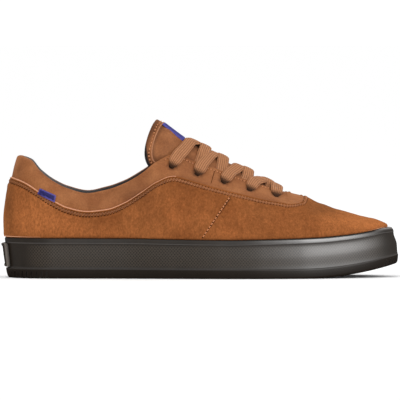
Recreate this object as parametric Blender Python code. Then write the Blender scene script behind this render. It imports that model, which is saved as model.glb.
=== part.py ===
# A skateboarding shoe for the right foot, low cut, empty and unbent, standing on its cup sole.
# +X points to the toe, +Z up, and -Y is the outer side of the foot. Lengths are in metres.
# Stations along the shoe are shares of SOLE_LENGTH, counted from the back of the sole.

import math

import bmesh
import bpy
from mathutils import Vector
from mathutils.bvhtree import BVHTree

# Driving sizes of the sole
SOLE_LENGTH = 0.297
BALL_WIDTH = 0.106
SIDE_HEIGHT = 0.030
TOE_SPRING = 0.0107
FLAT_END = 0.75
TOE_SWING = 0.011
SWING_START = 0.35
HEEL_ROUND = 0.125
TOE_ROUND = 0.33
ROUNDNESS = 2.15
HEEL_STACK = 0.017
BALL_STACK = 0.012
STACK_FALL = 0.28
STACK_LOW = 0.68
RIM_WALL = 0.0016
CUP_WALL = 0.0034
TOE_LIP = 0.0052
GROOVE_WIDTH = 0.0018
GROOVE_DEPTH = 0.0015
GROOVE_BORDER = 0.010
GROOVE_SWING = 0.0028
GROOVE_LEGS = 6
NICK_PITCH = 0.0042
NICK_WIDTH = 0.0011
NICK_DEPTH = 0.0008
NICK_HEIGHT = 0.0046
NICK_FOOT = 0.03
NICK_LEAN_HEEL = 0.15
NICK_LEAN_TOE = 0.45
HEEL_NICKS_END = 0.11
TOE_NICKS_START = 0.955

# Driving sizes of the upper
COLLAR_HEIGHT = 0.0918
WALL = 0.0022
COLLAR_PAD = 0.0066
EDGE_DROP = 0.31
ROLL_HEIGHT = 0.31
PAD_END = 0.27
PAD_FADE = 0.40
OVERLAY = 0.0010
OVERLAY_STEP = 0.0008
HEEL_BULGE = 0.0012
SIDE_SETBACK = 0.0008
CLIMB_HEEL = 0.0032
CLIMB_SIDE = 0.0030
CLIMB_TOE = 0.0010
SECTION_PULL = 0.36
QUARTER_LOWEST = 0.25
QUARTER_HIGHEST = 0.88
EYELETS = 5
FIRST_EYELET = 0.427
LAST_EYELET = 0.686
EYELET_INSET = 0.0105
EYELET_DIAMETER = 0.0046

# Driving sizes of what fills and closes the upper
INSOLE_THICKNESS = 0.0042
INSOLE_CUP = 0.0021
INSOLE_SLOPE = 0.010
INSOLE_EDGE = 0.0016
TONGUE_THICKNESS = 0.0065
TONGUE_EDGE = 0.0030
LACE_WIDTH = 0.0094
LACE_THICKNESS = 0.0028
LACE_SLOPE = -0.46
LACE_FIT = 0.0004
CROSSING_LIFT = 0.0012
BESIDE_BAR = 0.0124
BESIDE_LACE = 0.0050
INTO_THROAT = 0.52
PLATE_WIDTH = 0.027
PLATE_THICKNESS = 0.0031
PLATE_RELIEF = 0.0005
LABEL_LENGTH = 0.020
LABEL_WIDTH = 0.021
LABEL_THICKNESS = 0.0009
LABEL_INSET = 0.0055
TAG_PLACE = 0.113
TAG_LENGTH = 0.0125
TAG_INSET = 0.0014
TAG_HEIGHT = 0.0050
TAG_THICKNESS = 0.0008

# Clearance between curved pieces that touch on the real shoe
FIT = 0.0003

# How far a cutter reaches past what it cuts
CUT_PAST = 0.001

OUTER = -1
INNER = 1

# Half widths of the sole beside its centre line, as shares of BALL_WIDTH
OUTLINE_COLUMNS = ("share", "outer", "inner")
OUTLINE = (
    (0.00, 0.335, 0.335),
    (0.15, 0.345, 0.340),
    (0.30, 0.362, 0.328),
    (0.42, 0.408, 0.338),
    (0.55, 0.466, 0.402),
    (0.66, 0.490, 0.470),
    (0.75, 0.488, 0.498),
    (0.86, 0.450, 0.488),
    (1.00, 0.400, 0.450),
)

# Top edge of the sole's side, as a share of SIDE_HEIGHT
TOP_EDGE_COLUMNS = ("share", "height")
TOP_EDGE = (
    (0.000, 1.000),
    (0.300, 0.995),
    (0.480, 0.965),
    (0.570, 0.958),
    (0.660, 0.975),
    (0.800, 1.020),
    (0.864, 1.073),
    (0.928, 1.160),
    (0.965, 1.235),
    (1.000, 1.250),
)

# Profile of the sole's side from the ground up. rise is a share of the side's height at that
# station, and the last three columns are how far in it lies, as shares of SIDE_HEIGHT
PROFILE_COLUMNS = ("rise", "heel", "side", "toe")
PROFILE = (
    (0.000, 0.100, 0.055, 0.055),
    (0.030, 0.077, 0.028, 0.024),
    (0.235, 0.030, 0.008, 0.004),
    (0.255, 0.100, 0.030, 0.016),
    (0.550, 0.065, 0.014, 0.040),
    (0.865, 0.023, 0.018, 0.125),
    (0.885, 0.007, 0.001, 0.118),
    (0.975, 0.000, 0.005, 0.155),
    (1.000, 0.012, 0.018, 0.178),
)

# Sections of the upper, a row for each. share is where the section leaves the sole, edge_x where
# it ends on the top line, throat edge or vamp ridge, and outer and inner are its half widths
# there, as shares of BALL_WIDTH. top_outer and top_inner are heights as shares of COLLAR_HEIGHT,
# foot and end are the angles of the wall above the horizontal, in degrees, and quarter is the
# height of the quarter's raw edge as a share of COLLAR_HEIGHT
SECTION_COLUMNS = (
    "share", "edge_x", "outer", "inner", "top_outer", "top_inner", "foot", "end", "quarter")
SECTIONS = (
    (0.000, 0.042, 0.240, 0.240, 1.006, 1.006, 92, 74, 0.818),
    (0.030, 0.066, 0.250, 0.250, 0.976, 0.976, 91, 76, 0.784),
    (0.065, 0.094, 0.260, 0.260, 0.876, 0.876, 90, 78, 0.716),
    (0.105, 0.125, 0.271, 0.271, 0.799, 0.799, 90, 79, 0.642),
    (0.155, 0.165, 0.278, 0.275, 0.738, 0.740, 90, 79, 0.575),
    (0.210, 0.212, 0.282, 0.275, 0.705, 0.711, 90, 79, 0.545),
    (0.260, 0.260, 0.281, 0.271, 0.730, 0.742, 90, 77, 0.560),
    (0.305, 0.305, 0.276, 0.265, 0.784, 0.798, 89, 73, 0.615),
    (0.350, 0.350, 0.262, 0.252, 0.868, 0.880, 88, 66, 0.697),
    (0.390, 0.390, 0.236, 0.230, 0.968, 0.974, 87, 56, 0.773),
    (0.430, 0.430, 0.203, 0.200, 1.022, 1.026, 86, 47, 0.812),
    (0.480, 0.480, 0.178, 0.176, 0.962, 0.966, 84, 42, 0.766),
    (0.540, 0.540, 0.160, 0.158, 0.895, 0.899, 82, 38, 0.705),
    (0.610, 0.610, 0.136, 0.134, 0.812, 0.815, 79, 32, 0.640),
    (0.670, 0.670, 0.102, 0.102, 0.744, 0.746, 76, 22, 0.590),
    (0.700, 0.700, 0.068, 0.068, 0.714, 0.714, 74, 12, 0.573),
    (0.711, 0.711, 0.030, 0.030, 0.705, 0.705, 73, 4, 0.568),
    (0.714, 0.714, 0.000, 0.000, 0.703, 0.703, 73, 0, 0.566),
    (0.740, 0.736, 0.000, 0.000, 0.680, 0.680, 72, 0, 0.575),
    (0.753, 0.747, 0.000, 0.000, 0.668, 0.668, 71, 0, 0.597),
    (0.765, 0.757, 0.000, 0.000, 0.656, 0.656, 70, 0, 0.642),
    (0.830, 0.802, 0.000, 0.000, 0.590, 0.590, 65, 0, 0.545),
    (0.890, 0.845, 0.000, 0.000, 0.541, 0.541, 56, 0, 0.500),
    (0.945, 0.890, 0.000, 0.000, 0.494, 0.494, 43, 0, 0.460),
    (0.980, 0.920, 0.000, 0.000, 0.463, 0.463, 33, 0, 0.440),
    (1.000, 0.936, 0.000, 0.000, 0.447, 0.447, 27, 0, 0.430),
)
THROAT_FRONT = 0.714
EYESTAY_FRONT = 0.765
CORNER = 0.430

# Fields of grooves under the sole, from and to a share of its length
GROOVE_COLUMNS = ("start", "stop", "count")
GROOVE_FIELDS = (
    (0.055, 0.285, 6),
    (0.455, 0.880, 11),
)

# How far toe-ward the middles of a crossing's upper and lower strand lie from the lines between
# their ends, and how far their middles stand off what they lie on. The last row is the bar's
LACE_COLUMNS = ("over", "under", "lift")
LACES = (
    (0.0066, 0.0122, 0.0),
    (0.0028, 0.0044, 0.0),
    (0.0018, 0.0034, 0.0),
    (0.0018, 0.0042, 0.0004),
    (0.0008, 0.0008, 0.0014),
)

# Sections of the tongue from under the vamp to its tip. The crown is the middle of its face, at
# x and height. drop says how far down its edges lie, sweep how far back its sides bend before
# they tuck in again, half is its half width, thick a share of its full thickness, and roll how
# squarely its shoulders turn down
TONGUE_COLUMNS = ("x", "height", "half", "drop", "sweep", "thick", "roll")
TONGUE = (
    (0.752, 0.607, 0.090, 0.020, 0.000, 0.35, 1.9),
    (0.722, 0.643, 0.120, 0.050, 0.000, 0.40, 1.9),
    (0.690, 0.716, 0.160, 0.115, 0.000, 0.55, 1.9),
    (0.640, 0.805, 0.195, 0.175, 0.000, 0.80, 1.9),
    (0.585, 0.900, 0.212, 0.215, 0.000, 1.00, 1.9),
    (0.530, 0.990, 0.225, 0.250, 0.000, 1.00, 1.9),
    (0.482, 1.080, 0.228, 0.300, 0.005, 1.00, 2.2),
    (0.450, 1.148, 0.226, 0.340, 0.024, 1.00, 2.7),
    (0.424, 1.210, 0.224, 0.362, 0.038, 1.00, 3.2),
    (0.402, 1.264, 0.221, 0.378, 0.046, 0.85, 3.6),
    (0.388, 1.298, 0.212, 0.388, 0.048, 0.55, 3.8),
)
SWEEP_POWER = 0.63
TUCK = 0.53
TUCK_POWER = 4.5


def column(columns, table, name):
    """Returns the share and value columns of a table as two lists."""
    place = columns.index(name)
    return [row[0] for row in table], [row[place] for row in table]


def soft_line(xs, ys, x):
    """Reads a smooth curve through the points, with no overshoot between them."""
    if x <= xs[0]:
        return ys[0]
    if x >= xs[-1]:
        return ys[-1]
    i = max(k for k in range(len(xs) - 1) if xs[k] <= x)
    steps = [xs[k + 1] - xs[k] for k in range(len(xs) - 1)]
    slopes = [(ys[k + 1] - ys[k]) / steps[k] for k in range(len(xs) - 1)]

    def tangent(k):
        if k == 0:
            return slopes[0]
        if k == len(xs) - 1:
            return slopes[-1]
        a, b = slopes[k - 1], slopes[k]
        if a * b <= 0.0:
            return 0.0
        wa = 2.0 * steps[k] + steps[k - 1]
        wb = steps[k] + 2.0 * steps[k - 1]
        return (wa + wb) / (wa / a + wb / b)

    h = steps[i]
    t = (x - xs[i]) / h
    m0 = tangent(i) * h
    m1 = tangent(i + 1) * h
    a = (2 * t ** 3 - 3 * t ** 2 + 1) * ys[i] + (t ** 3 - 2 * t ** 2 + t) * m0
    b = (-2 * t ** 3 + 3 * t ** 2) * ys[i + 1] + (t ** 3 - t ** 2) * m1
    return a + b


def ease(t):
    """Runs smoothly from 0 to 1 as t does, and stays there outside."""
    t = min(max(t, 0.0), 1.0)
    return t * t * (3.0 - 2.0 * t)


def end_round(t, reach):
    """Rounds an end of the outline: 0 at the end itself, 1 from reach on."""
    if t >= reach:
        return 1.0
    return (1.0 - (1.0 - max(t, 0.0) / reach) ** ROUNDNESS) ** (1.0 / ROUNDNESS)


# The sole's outline and heights

def centre(share):
    """The shoe's centre line, which swings to the inner side at the toe."""
    return TOE_SWING * ease((share - SWING_START) / (1.0 - SWING_START))


def side_name(side):
    return "outer" if side == OUTER else "inner"


def ends(share):
    return end_round(share, HEEL_ROUND) * end_round(1.0 - share, TOE_ROUND)


def half_width(share, side):
    """The sole's width on one side of the centre line."""
    xs, ys = column(OUTLINE_COLUMNS, OUTLINE, side_name(side))
    return BALL_WIDTH * soft_line(xs, ys, share) * ends(share)


def outline(theta):
    """A point of the sole's widest outline. theta runs from the heel (0) along the outer side
    to the toe (pi) and back along the inner side."""
    share = 0.5 * (1.0 - math.cos(theta))
    side = OUTER if math.sin(theta) >= 0.0 else INNER
    return Vector((share * SOLE_LENGTH, centre(share) + side * half_width(share, side), 0.0))


def inward(theta):
    """The horizontal direction into the shoe at a point of the outline."""
    step = 0.004
    along = outline(theta + step) - outline(theta - step)
    return Vector((-along.y, along.x, 0.0)).normalized()


def ground(x):
    """Height of the sole's underside, which lifts towards the toe."""
    rise = (x / SOLE_LENGTH - FLAT_END) / (1.0 - FLAT_END)
    return TOE_SPRING * max(rise, 0.0) ** 2


def rim(x):
    """Height of the top edge of the sole's side."""
    xs, ys = column(TOP_EDGE_COLUMNS, TOP_EDGE, "height")
    return SIDE_HEIGHT * soft_line(xs, ys, x / SOLE_LENGTH)


def cup_floor(x):
    """Height of the floor inside the cup."""
    share = ease((x / SOLE_LENGTH - STACK_FALL) / (STACK_LOW - STACK_FALL))
    return ground(x) + HEEL_STACK + (BALL_STACK - HEEL_STACK) * share


def by_end(theta, heel, side, toe):
    """Blends three values by where the outline faces: back, sideways or forwards."""
    facing = inward(theta).x
    if facing > 0.0:
        return side + (heel - side) * facing ** 2
    return side + (toe - side) * facing ** 2


def side_point(theta, rise, out=0.0):
    """A point of the sole's side at a share of its height, moved out by a distance."""
    depths = []
    for name in ("heel", "side", "toe"):
        xs, ys = column(PROFILE_COLUMNS, PROFILE, name)
        if rise in xs:
            depths.append(ys[xs.index(rise)])
        else:
            depths.append(soft_line(xs, ys, rise))
    depth = SIDE_HEIGHT * by_end(theta, *depths) - out
    point = outline(theta) + inward(theta) * depth
    low = ground(point.x)
    point.z = low + (rim(point.x) - low) * rise
    return point


def cup_depth(theta, low):
    """How far inside the outline the cup's inner wall lies, at its floor or at its rim."""
    top = SIDE_HEIGHT * by_end(theta, PROFILE[-1][1], PROFILE[-1][2], PROFILE[-1][3])
    wall = by_end(theta, RIM_WALL, RIM_WALL, TOE_LIP)
    if low:
        wall = max(wall, CUP_WALL)
    return top + wall


def ring_point(theta, depth, height):
    """A point inside the outline by depth, at a height worked out from its x."""
    point = outline(theta) + inward(theta) * depth
    point.z = height(point.x)
    return point


# Mesh making

def new_object(name, mesh, material, collection):
    thing = bpy.data.objects.new(name, mesh)
    mesh.materials.append(material)
    collection.objects.link(thing)
    return thing


def finish_mesh(bm, name, angle):
    """Makes a mesh from a closed bmesh, with its faces out and its sharp edges kept."""
    bmesh.ops.remove_doubles(bm, verts=bm.verts, dist=1e-7)
    bmesh.ops.recalc_face_normals(bm, faces=bm.faces)
    mesh = bpy.data.meshes.new(name)
    bm.to_mesh(mesh)
    bm.free()
    mesh.shade_smooth()
    mesh.set_sharp_from_angle(angle=math.radians(angle))
    return mesh


def skin(bm, rows, closed):
    """Makes quads between rows of vertices. A closed row joins its last vertex to its first."""
    for low, high in zip(rows[:-1], rows[1:]):
        count = len(low)
        for i in range(count if closed else count - 1):
            k = (i + 1) % count
            corners = []
            for vert in (low[i], low[k], high[k], high[i]):
                if vert not in corners:
                    corners.append(vert)
            if len(corners) > 2 and bm.faces.get(corners) is None:
                bm.faces.new(corners)


def cap(bm, ring):
    """Closes a ring of the outline with strips across the shoe."""
    count = len(ring)
    half = count // 2
    for i in range(half):
        corners = []
        for vert in (ring[i], ring[i + 1], ring[(count - i - 1) % count], ring[(count - i) % count]):
            if vert not in corners:
                corners.append(vert)
        bm.faces.new(corners)


def ring_of(bm, thetas, maker):
    return [bm.verts.new(maker(theta)) for theta in thetas]


def cut(target, cutter, operation="DIFFERENCE"):
    """Cuts or joins one object with another by an exact Boolean."""
    change = target.modifiers.new(cutter.name, "BOOLEAN")
    change.operation = operation
    change.solver = "EXACT"
    change.object = cutter


def as_cutter(thing, cutters):
    thing.hide_render = True
    thing.display_type = "WIRE"
    for owner in list(thing.users_collection):
        owner.objects.unlink(thing)
    cutters.objects.link(thing)


def boxes_mesh(name, boxes):
    """One mesh of separate boxes. Each is its centre and three half edges as vectors."""
    bm = bmesh.new()
    for middle, a, b, c in boxes:
        corners = {}
        for i in (-1, 1):
            for j in (-1, 1):
                for k in (-1, 1):
                    corners[i, j, k] = bm.verts.new(middle + a * i + b * j + c * k)
        for axis in range(3):
            for sign in (-1, 1):
                loop = []
                for u, v in ((-1, -1), (1, -1), (1, 1), (-1, 1)):
                    key = [u, v]
                    key.insert(axis, sign)
                    loop.append(corners[tuple(key)])
                bm.faces.new(loop)
    return finish_mesh(bm, name, 30)


# Outsole

SOLE_STEPS = 34


def sole_thetas():
    return [math.pi * i / SOLE_STEPS for i in range(2 * SOLE_STEPS)]


def make_outsole(material, parts, cutters):
    """The moulded cup: side wall with its steps, rim, floor and underside."""
    thetas = sole_thetas()
    bm = bmesh.new()
    rows = [ring_of(bm, thetas, lambda t, r=row[0]: side_point(t, r)) for row in PROFILE]
    rows.append(ring_of(bm, thetas, lambda t: ring_point(t, cup_depth(t, False), rim)))
    rows.append(ring_of(bm, thetas, lambda t: ring_point(t, cup_depth(t, True), cup_floor)))
    skin(bm, rows, True)
    cap(bm, rows[0])
    cap(bm, rows[-1])
    sole = new_object("outsole", finish_mesh(bm, "outsole", 28), material, parts)
    cut(sole, make_grooves(material, cutters))
    cut(sole, make_nicks(material, cutters))
    return sole


def make_grooves(material, cutters):
    """Zigzag grooves across the heel and the ball, inside a plain border."""
    shares = []
    for start, stop, count in GROOVE_FIELDS:
        shares += [start + (stop - start) * i / (count - 1) for i in range(count)]
    bm = bmesh.new()
    for share in shares:
        outer = centre(share) - half_width(share, OUTER) + GROOVE_BORDER
        inner = centre(share) + half_width(share, INNER) - GROOVE_BORDER
        low = []
        high = []
        for k in range(GROOVE_LEGS + 1):
            y = outer + (inner - outer) * k / GROOVE_LEGS
            swing = GROOVE_SWING if k % 2 else -GROOVE_SWING
            for shift in (-0.5, 0.5):
                x = share * SOLE_LENGTH + swing + shift * GROOVE_WIDTH
                low.append(bm.verts.new((x, y, ground(x) - CUT_PAST)))
                high.append(bm.verts.new((x, y, ground(x) + GROOVE_DEPTH)))
        for k in range(GROOVE_LEGS):
            a, b, c, d = 2 * k, 2 * k + 1, 2 * k + 3, 2 * k + 2
            bm.faces.new((low[a], low[b], low[c], low[d]))
            bm.faces.new((high[a], high[d], high[c], high[b]))
            bm.faces.new((low[a], low[d], high[d], high[a]))
            bm.faces.new((low[b], high[b], high[c], low[c]))
        bm.faces.new((low[0], high[0], high[1], low[1]))
        bm.faces.new((low[-2], low[-1], high[-1], high[-2]))
    grooves = new_object("grooves_cutter", finish_mesh(bm, "grooves", 30), material, cutters)
    as_cutter(grooves, cutters)
    return grooves


def make_nicks(material, cutters):
    """Short slanted nicks in the lower edge, round the heel and round the toe."""
    boxes = []
    steps = 720
    travelled = 0.0
    due = 0.5 * NICK_PITCH
    last = outline(0.0)
    for i in range(1, steps + 1):
        theta = 2.0 * math.pi * i / steps
        here = outline(theta)
        travelled += (here - last).length
        last = here
        if travelled < due:
            continue
        due += NICK_PITCH
        share = here.x / SOLE_LENGTH
        if HEEL_NICKS_END < share < TOE_NICKS_START:
            continue
        foot = side_point(theta, NICK_FOOT)
        up = (side_point(theta, PROFILE[2][0]) - foot).normalized()
        along = inward(theta).cross(Vector((0.0, 0.0, 1.0)))
        lean = up + along * (NICK_LEAN_TOE if share > TOE_NICKS_START else NICK_LEAN_HEEL)
        lean.normalize()
        middle = foot + lean * (0.5 * NICK_HEIGHT - CUT_PAST)
        side = along.normalized() * (0.5 * NICK_WIDTH)
        depth = lean.cross(side).normalized() * NICK_DEPTH
        boxes.append((middle, side, depth, lean * (0.5 * NICK_HEIGHT + CUT_PAST)))
    nicks = new_object("nicks_cutter", boxes_mesh("nicks", boxes), material, cutters)
    as_cutter(nicks, cutters)
    return nicks


# Rows of the heel plate, as shares of the side's height, and its columns, as shares of half its
# width. The outer two of each are its raised border
PLATE_RISES = (0.268, 0.33, 0.355, 0.58, 0.805, 0.83, 0.862)
PLATE_ACROSS = (-1.0, -0.86, -0.80, -0.4, 0.0, 0.4, 0.80, 0.86, 1.0)


def make_heel_plate(material, parts):
    """The plate on the back of the sole, with a raised border round a bare field."""
    reach = 0.0
    while outline(reach).y > -0.5 * PLATE_WIDTH:
        reach += 0.002
    bm = bmesh.new()
    back = []
    front = []
    for i, rise in enumerate(PLATE_RISES):
        back.append([])
        front.append([])
        for k, share in enumerate(PLATE_ACROSS):
            in_rises = 1 < i < len(PLATE_RISES) - 2
            in_across = 1 < k < len(PLATE_ACROSS) - 2
            proud = PLATE_THICKNESS - (PLATE_RELIEF if in_rises and in_across else 0.0)
            theta = share * reach
            back[-1].append(bm.verts.new(side_point(theta, rise, FIT)))
            front[-1].append(bm.verts.new(side_point(theta, rise, FIT + proud)))
    skin(bm, front, False)
    skin(bm, back, False)
    for rows in ((back[0], front[0]), (back[-1], front[-1])):
        skin(bm, rows, False)
    for k in (0, -1):
        skin(bm, [[row[k] for row in back], [row[k] for row in front]], False)
    return new_object("heel_plate", finish_mesh(bm, "heel_plate", 30), material, parts)


# Upper

def section_value(name, share):
    xs, ys = column(SECTION_COLUMNS, SECTIONS, name)
    return soft_line(xs, ys, share)


def theta_of(share, side):
    theta = math.acos(1.0 - 2.0 * min(max(share, 0.0), 1.0))
    return theta if side == OUTER else 2.0 * math.pi - theta


def pad(share):
    """How far the collar is padded: 1 round the ankle, 0 at the throat and on the vamp."""
    return 1.0 - ease((share - PAD_END) / (PAD_FADE - PAD_END))


def edge_thickness(share):
    return WALL + (COLLAR_PAD - WALL) * pad(share)


def crest(share, side):
    """The highest line of the upper's top edge, or the ridge of the vamp."""
    edge_x = section_value("edge_x", share)
    half = BALL_WIDTH * section_value(side_name(side), share) * end_round(share, HEEL_ROUND)
    height = COLLAR_HEIGHT * section_value("top_" + side_name(side), share)
    return Vector((edge_x * SOLE_LENGTH, centre(edge_x) + side * half, height))


def upper_foot(theta, row):
    """The three lowest rows of the upper: at the cup's floor, at its rim, and over the rim."""
    if row == 0:
        point = ring_point(theta, cup_depth(theta, True) + FIT, cup_floor)
        point.z += FIT
        return point
    if row == 1:
        point = ring_point(theta, cup_depth(theta, False) + FIT, rim)
        point.z += FIT
        return point
    reach = cup_depth(theta, False) + FIT
    out = by_end(theta, reach + HEEL_BULGE - OVERLAY, reach - SIDE_SETBACK - OVERLAY, 0.0)
    climb = by_end(theta, CLIMB_HEEL, CLIMB_SIDE, CLIMB_TOE)
    out_share, climb_share = (0.75, 0.2) if row == 2 else (1.0, 1.0)
    point = ring_point(theta, reach - out * out_share, rim)
    point.z += FIT + climb * climb_share
    return point


def section_curve(share, side):
    """The four control points of a section, from above the rim to the top edge."""
    theta = theta_of(share, side)
    into = inward(theta)
    foot = upper_foot(theta, 3)
    top = crest(share, side)
    if share < THROAT_FRONT:
        thick = edge_thickness(share)
        top = top - into * (0.5 * thick) - Vector((0.0, 0.0, EDGE_DROP * thick))
        flat = into
    else:
        step = 0.01
        ahead = crest(min(share + step, 1.0), side)
        behind = crest(min(share + step, 1.0) - 2.0 * step, side)
        run = (ahead - behind).normalized()
        flat = Vector((into.x * run.x, into.y, into.x * run.z)).normalized()
    foot_angle = math.radians(section_value("foot", share))
    end_angle = math.radians(section_value("end", share))
    up = Vector((0.0, 0.0, 1.0))
    leave = into * math.cos(foot_angle) + up * math.sin(foot_angle)
    arrive = flat * math.cos(end_angle) + up * math.sin(end_angle)
    pull = (top - foot).length * SECTION_PULL
    return foot, foot + leave * pull, top - arrive * pull, top


def bezier(points, t):
    a, b, c, d = points
    s = 1.0 - t
    return a * s ** 3 + b * (3 * s * s * t) + c * (3 * s * t * t) + d * t ** 3


def quarter_share(points, height):
    """Where on its section the quarter's raw edge lies, by height."""
    low, high = 0.0, 1.0
    for _ in range(24):
        t = 0.5 * (low + high)
        if bezier(points, t).z < height:
            low = t
        else:
            high = t
    return min(max(low, QUARTER_LOWEST), QUARTER_HIGHEST)


EVEN_STATIONS = 30
ROWS_BELOW = 4
ROWS_ABOVE = 3
FOOT_ROWS = 3
STEP_ROW = FOOT_ROWS + ROWS_BELOW
LAST_ROW = STEP_ROW + 1 + ROWS_ABOVE


def wall_stations():
    """The sections' shares: even in angle, closer at the throat's and the eyestay's ends."""
    even = [0.5 * (1.0 - math.cos(math.pi * i / EVEN_STATIONS)) for i in range(EVEN_STATIONS + 1)]
    special = [CORNER, THROAT_FRONT - 0.014, THROAT_FRONT - 0.003, THROAT_FRONT]
    special += [EYESTAY_FRONT - step for step in (0.033, 0.022, 0.013, 0.006, 0.0, -0.003)]
    kept = [s for s in even if all(abs(s - other) > 0.011 for other in special)]
    return sorted(kept + special)


def wall_section(share, side):
    """The outer points of one section, row by row, and how far each is lifted as overlay."""
    theta = theta_of(share, side)
    points = section_curve(share, side)
    turn = quarter_share(points, COLLAR_HEIGHT * section_value("quarter", share))
    gap = OVERLAY_STEP / (points[3] - points[0]).length
    row = [upper_foot(theta, k) for k in range(FOOT_ROWS)]
    lift = [0.0, 0.0, 0.0]
    for k in range(ROWS_BELOW + 1):
        row.append(bezier(points, turn * k / ROWS_BELOW))
        lift.append(1.0)
    above = 0.0 if share <= EYESTAY_FRONT else 1.0
    for k in range(ROWS_ABOVE + 1):
        t = turn + gap + (1.0 - turn - gap) * k / ROWS_ABOVE
        row.append(bezier(points, t))
        lift.append(above)
    return row, lift


def wall_thickness(share, row):
    """The wall's thickness: padded towards the collar, plain elsewhere."""
    climb = (row - FOOT_ROWS) / (LAST_ROW - FOOT_ROWS)
    return WALL + (COLLAR_PAD - WALL) * pad(share) * ease((climb - 0.25) / 0.6)


def make_upper(material, parts, cutters):
    """One hollow wall from heel to toe, open at the collar, at the throat and underneath."""
    stations = wall_stations()
    last = len(stations) - 1
    throat = stations.index(THROAT_FRONT)
    bm = bmesh.new()
    outside = {}
    lifts = {}

    def key(side, k, j):
        middle = k in (0, last) or (j == LAST_ROW and k >= throat)
        return (0 if middle else side, k, j)

    for side in (OUTER, INNER):
        for k, share in enumerate(stations):
            row, lift = wall_section(share, side)
            for j, point in enumerate(row):
                place = key(side, k, j)
                if place not in outside:
                    if place[0] == 0:
                        point.y = centre(point.x / SOLE_LENGTH) if k else 0.0
                        if k == last:
                            point.y = centre(1.0)
                    outside[place] = bm.verts.new(point)
                    lifts[place] = lift[j]

    def sheet(verts, rows, side, flip):
        for k in range(last):
            for a, b in zip(rows[:-1], rows[1:]):
                corners = []
                for vert in (verts[key(side, k, a)], verts[key(side, k + 1, a)],
                             verts[key(side, k + 1, b)], verts[key(side, k, b)]):
                    if vert not in corners:
                        corners.append(vert)
                if flip:
                    corners.reverse()
                bm.faces.new(corners)

    outer_rows = list(range(LAST_ROW + 1))
    inner_rows = [j for j in outer_rows if j not in (2, STEP_ROW)]
    for side in (OUTER, INNER):
        sheet(outside, outer_rows, side, side == INNER)
    bmesh.ops.recalc_face_normals(bm, faces=bm.faces)
    bm.normal_update()
    normals = {place: vert.normal.copy() for place, vert in outside.items()}
    heel = outside[0, 0, FOOT_ROWS + 1]
    if heel.normal.x > 0.0:
        normals = {place: -normal for place, normal in normals.items()}

    inside = {}
    for place, vert in outside.items():
        side, k, j = place
        if j not in inner_rows:
            continue
        share = stations[k]
        thick = wall_thickness(share, j)
        if j < 2:
            away = inward(theta_of(share, side if side else OUTER)) * -1.0
            if k in (0, last):
                away = Vector((-1.0 if k == 0 else 1.0, 0.0, 0.0))
        else:
            away = normals[place]
        inside[place] = bm.verts.new(vert.co - away * thick)
    for place, vert in outside.items():
        vert.co += normals[place] * (OVERLAY * lifts[place])

    for side in (OUTER, INNER):
        sheet(inside, inner_rows, side, side == OUTER)
        roll = {}
        for k in range(throat + 1):
            place = key(side, k, LAST_ROW)
            a = outside[place].co
            b = inside[place].co
            raised = Vector((0.0, 0.0, ROLL_HEIGHT * (b - a).length))
            for step, share in enumerate((0.22, 0.78)):
                roll[k, step] = a.lerp(b, share) + raised
        for k in range(throat):
            ends_now = []
            for m in (k, k + 1):
                place = key(side, m, LAST_ROW)
                verts = [outside[place]]
                for step in range(2):
                    verts.append(bm.verts.new(roll[m, step]))
                verts.append(inside[place])
                ends_now.append(verts)
            for step in range(3):
                bm.faces.new((ends_now[0][step], ends_now[1][step],
                              ends_now[1][step + 1], ends_now[0][step + 1]))
        for k in range(last):
            corners = []
            for vert in (outside[key(side, k, 0)], outside[key(side, k + 1, 0)],
                         inside[key(side, k + 1, 0)], inside[key(side, k, 0)]):
                if vert not in corners:
                    corners.append(vert)
            bm.faces.new(corners)
    upper = new_object("upper", finish_mesh(bm, "upper", 40), material, parts)
    cut(upper, make_eyelet_cutter(material, cutters))
    return upper


def surface(share, side, t):
    """A point of the upper's outer form and its outward direction."""
    here = bezier(section_curve(share, side), t)
    step = 0.004
    up = bezier(section_curve(share, side), min(t + step, 1.0)) - here
    if t + step > 1.0:
        up = here - bezier(section_curve(share, side), t - step)
    ahead = bezier(section_curve(share + step, side), t) - here
    normal = ahead.cross(up).normalized()
    if normal.y * side < 0.0:
        normal.negate()
    return here, normal


def down_from_edge(share, side, distance):
    """The section's parameter at a distance below the top edge, along the wall."""
    points = section_curve(share, side)
    t = 1.0
    travelled = 0.0
    last = bezier(points, t)
    while travelled < distance and t > 0.02:
        t -= 0.01
        here = bezier(points, t)
        travelled += (here - last).length
        last = here
    return t


def eyelet_share(i):
    return FIRST_EYELET + (LAST_EYELET - FIRST_EYELET) * i / (EYELETS - 1)


def eyelet(i, side):
    """The middle of an eyelet on the outer form, and the direction out of it."""
    share = eyelet_share(i)
    return surface(share, side, down_from_edge(share, side, EYELET_INSET))


def make_eyelet_cutter(material, cutters):
    bm = bmesh.new()
    for i in range(EYELETS):
        for side in (OUTER, INNER):
            middle, out = eyelet(i, side)
            turn = out.to_track_quat("Z", "Y").to_matrix().to_4x4()
            turn.translation = middle - out * (0.5 * WALL)
            bmesh.ops.create_cone(
                bm, cap_ends=True, segments=12, radius1=0.5 * EYELET_DIAMETER,
                radius2=0.5 * EYELET_DIAMETER, depth=2.0 * (WALL + OVERLAY + CUT_PAST),
                matrix=turn)
    holes = new_object("eyelets_cutter", finish_mesh(bm, "eyelets", 30), material, cutters)
    as_cutter(holes, cutters)
    return holes


# Insole

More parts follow.
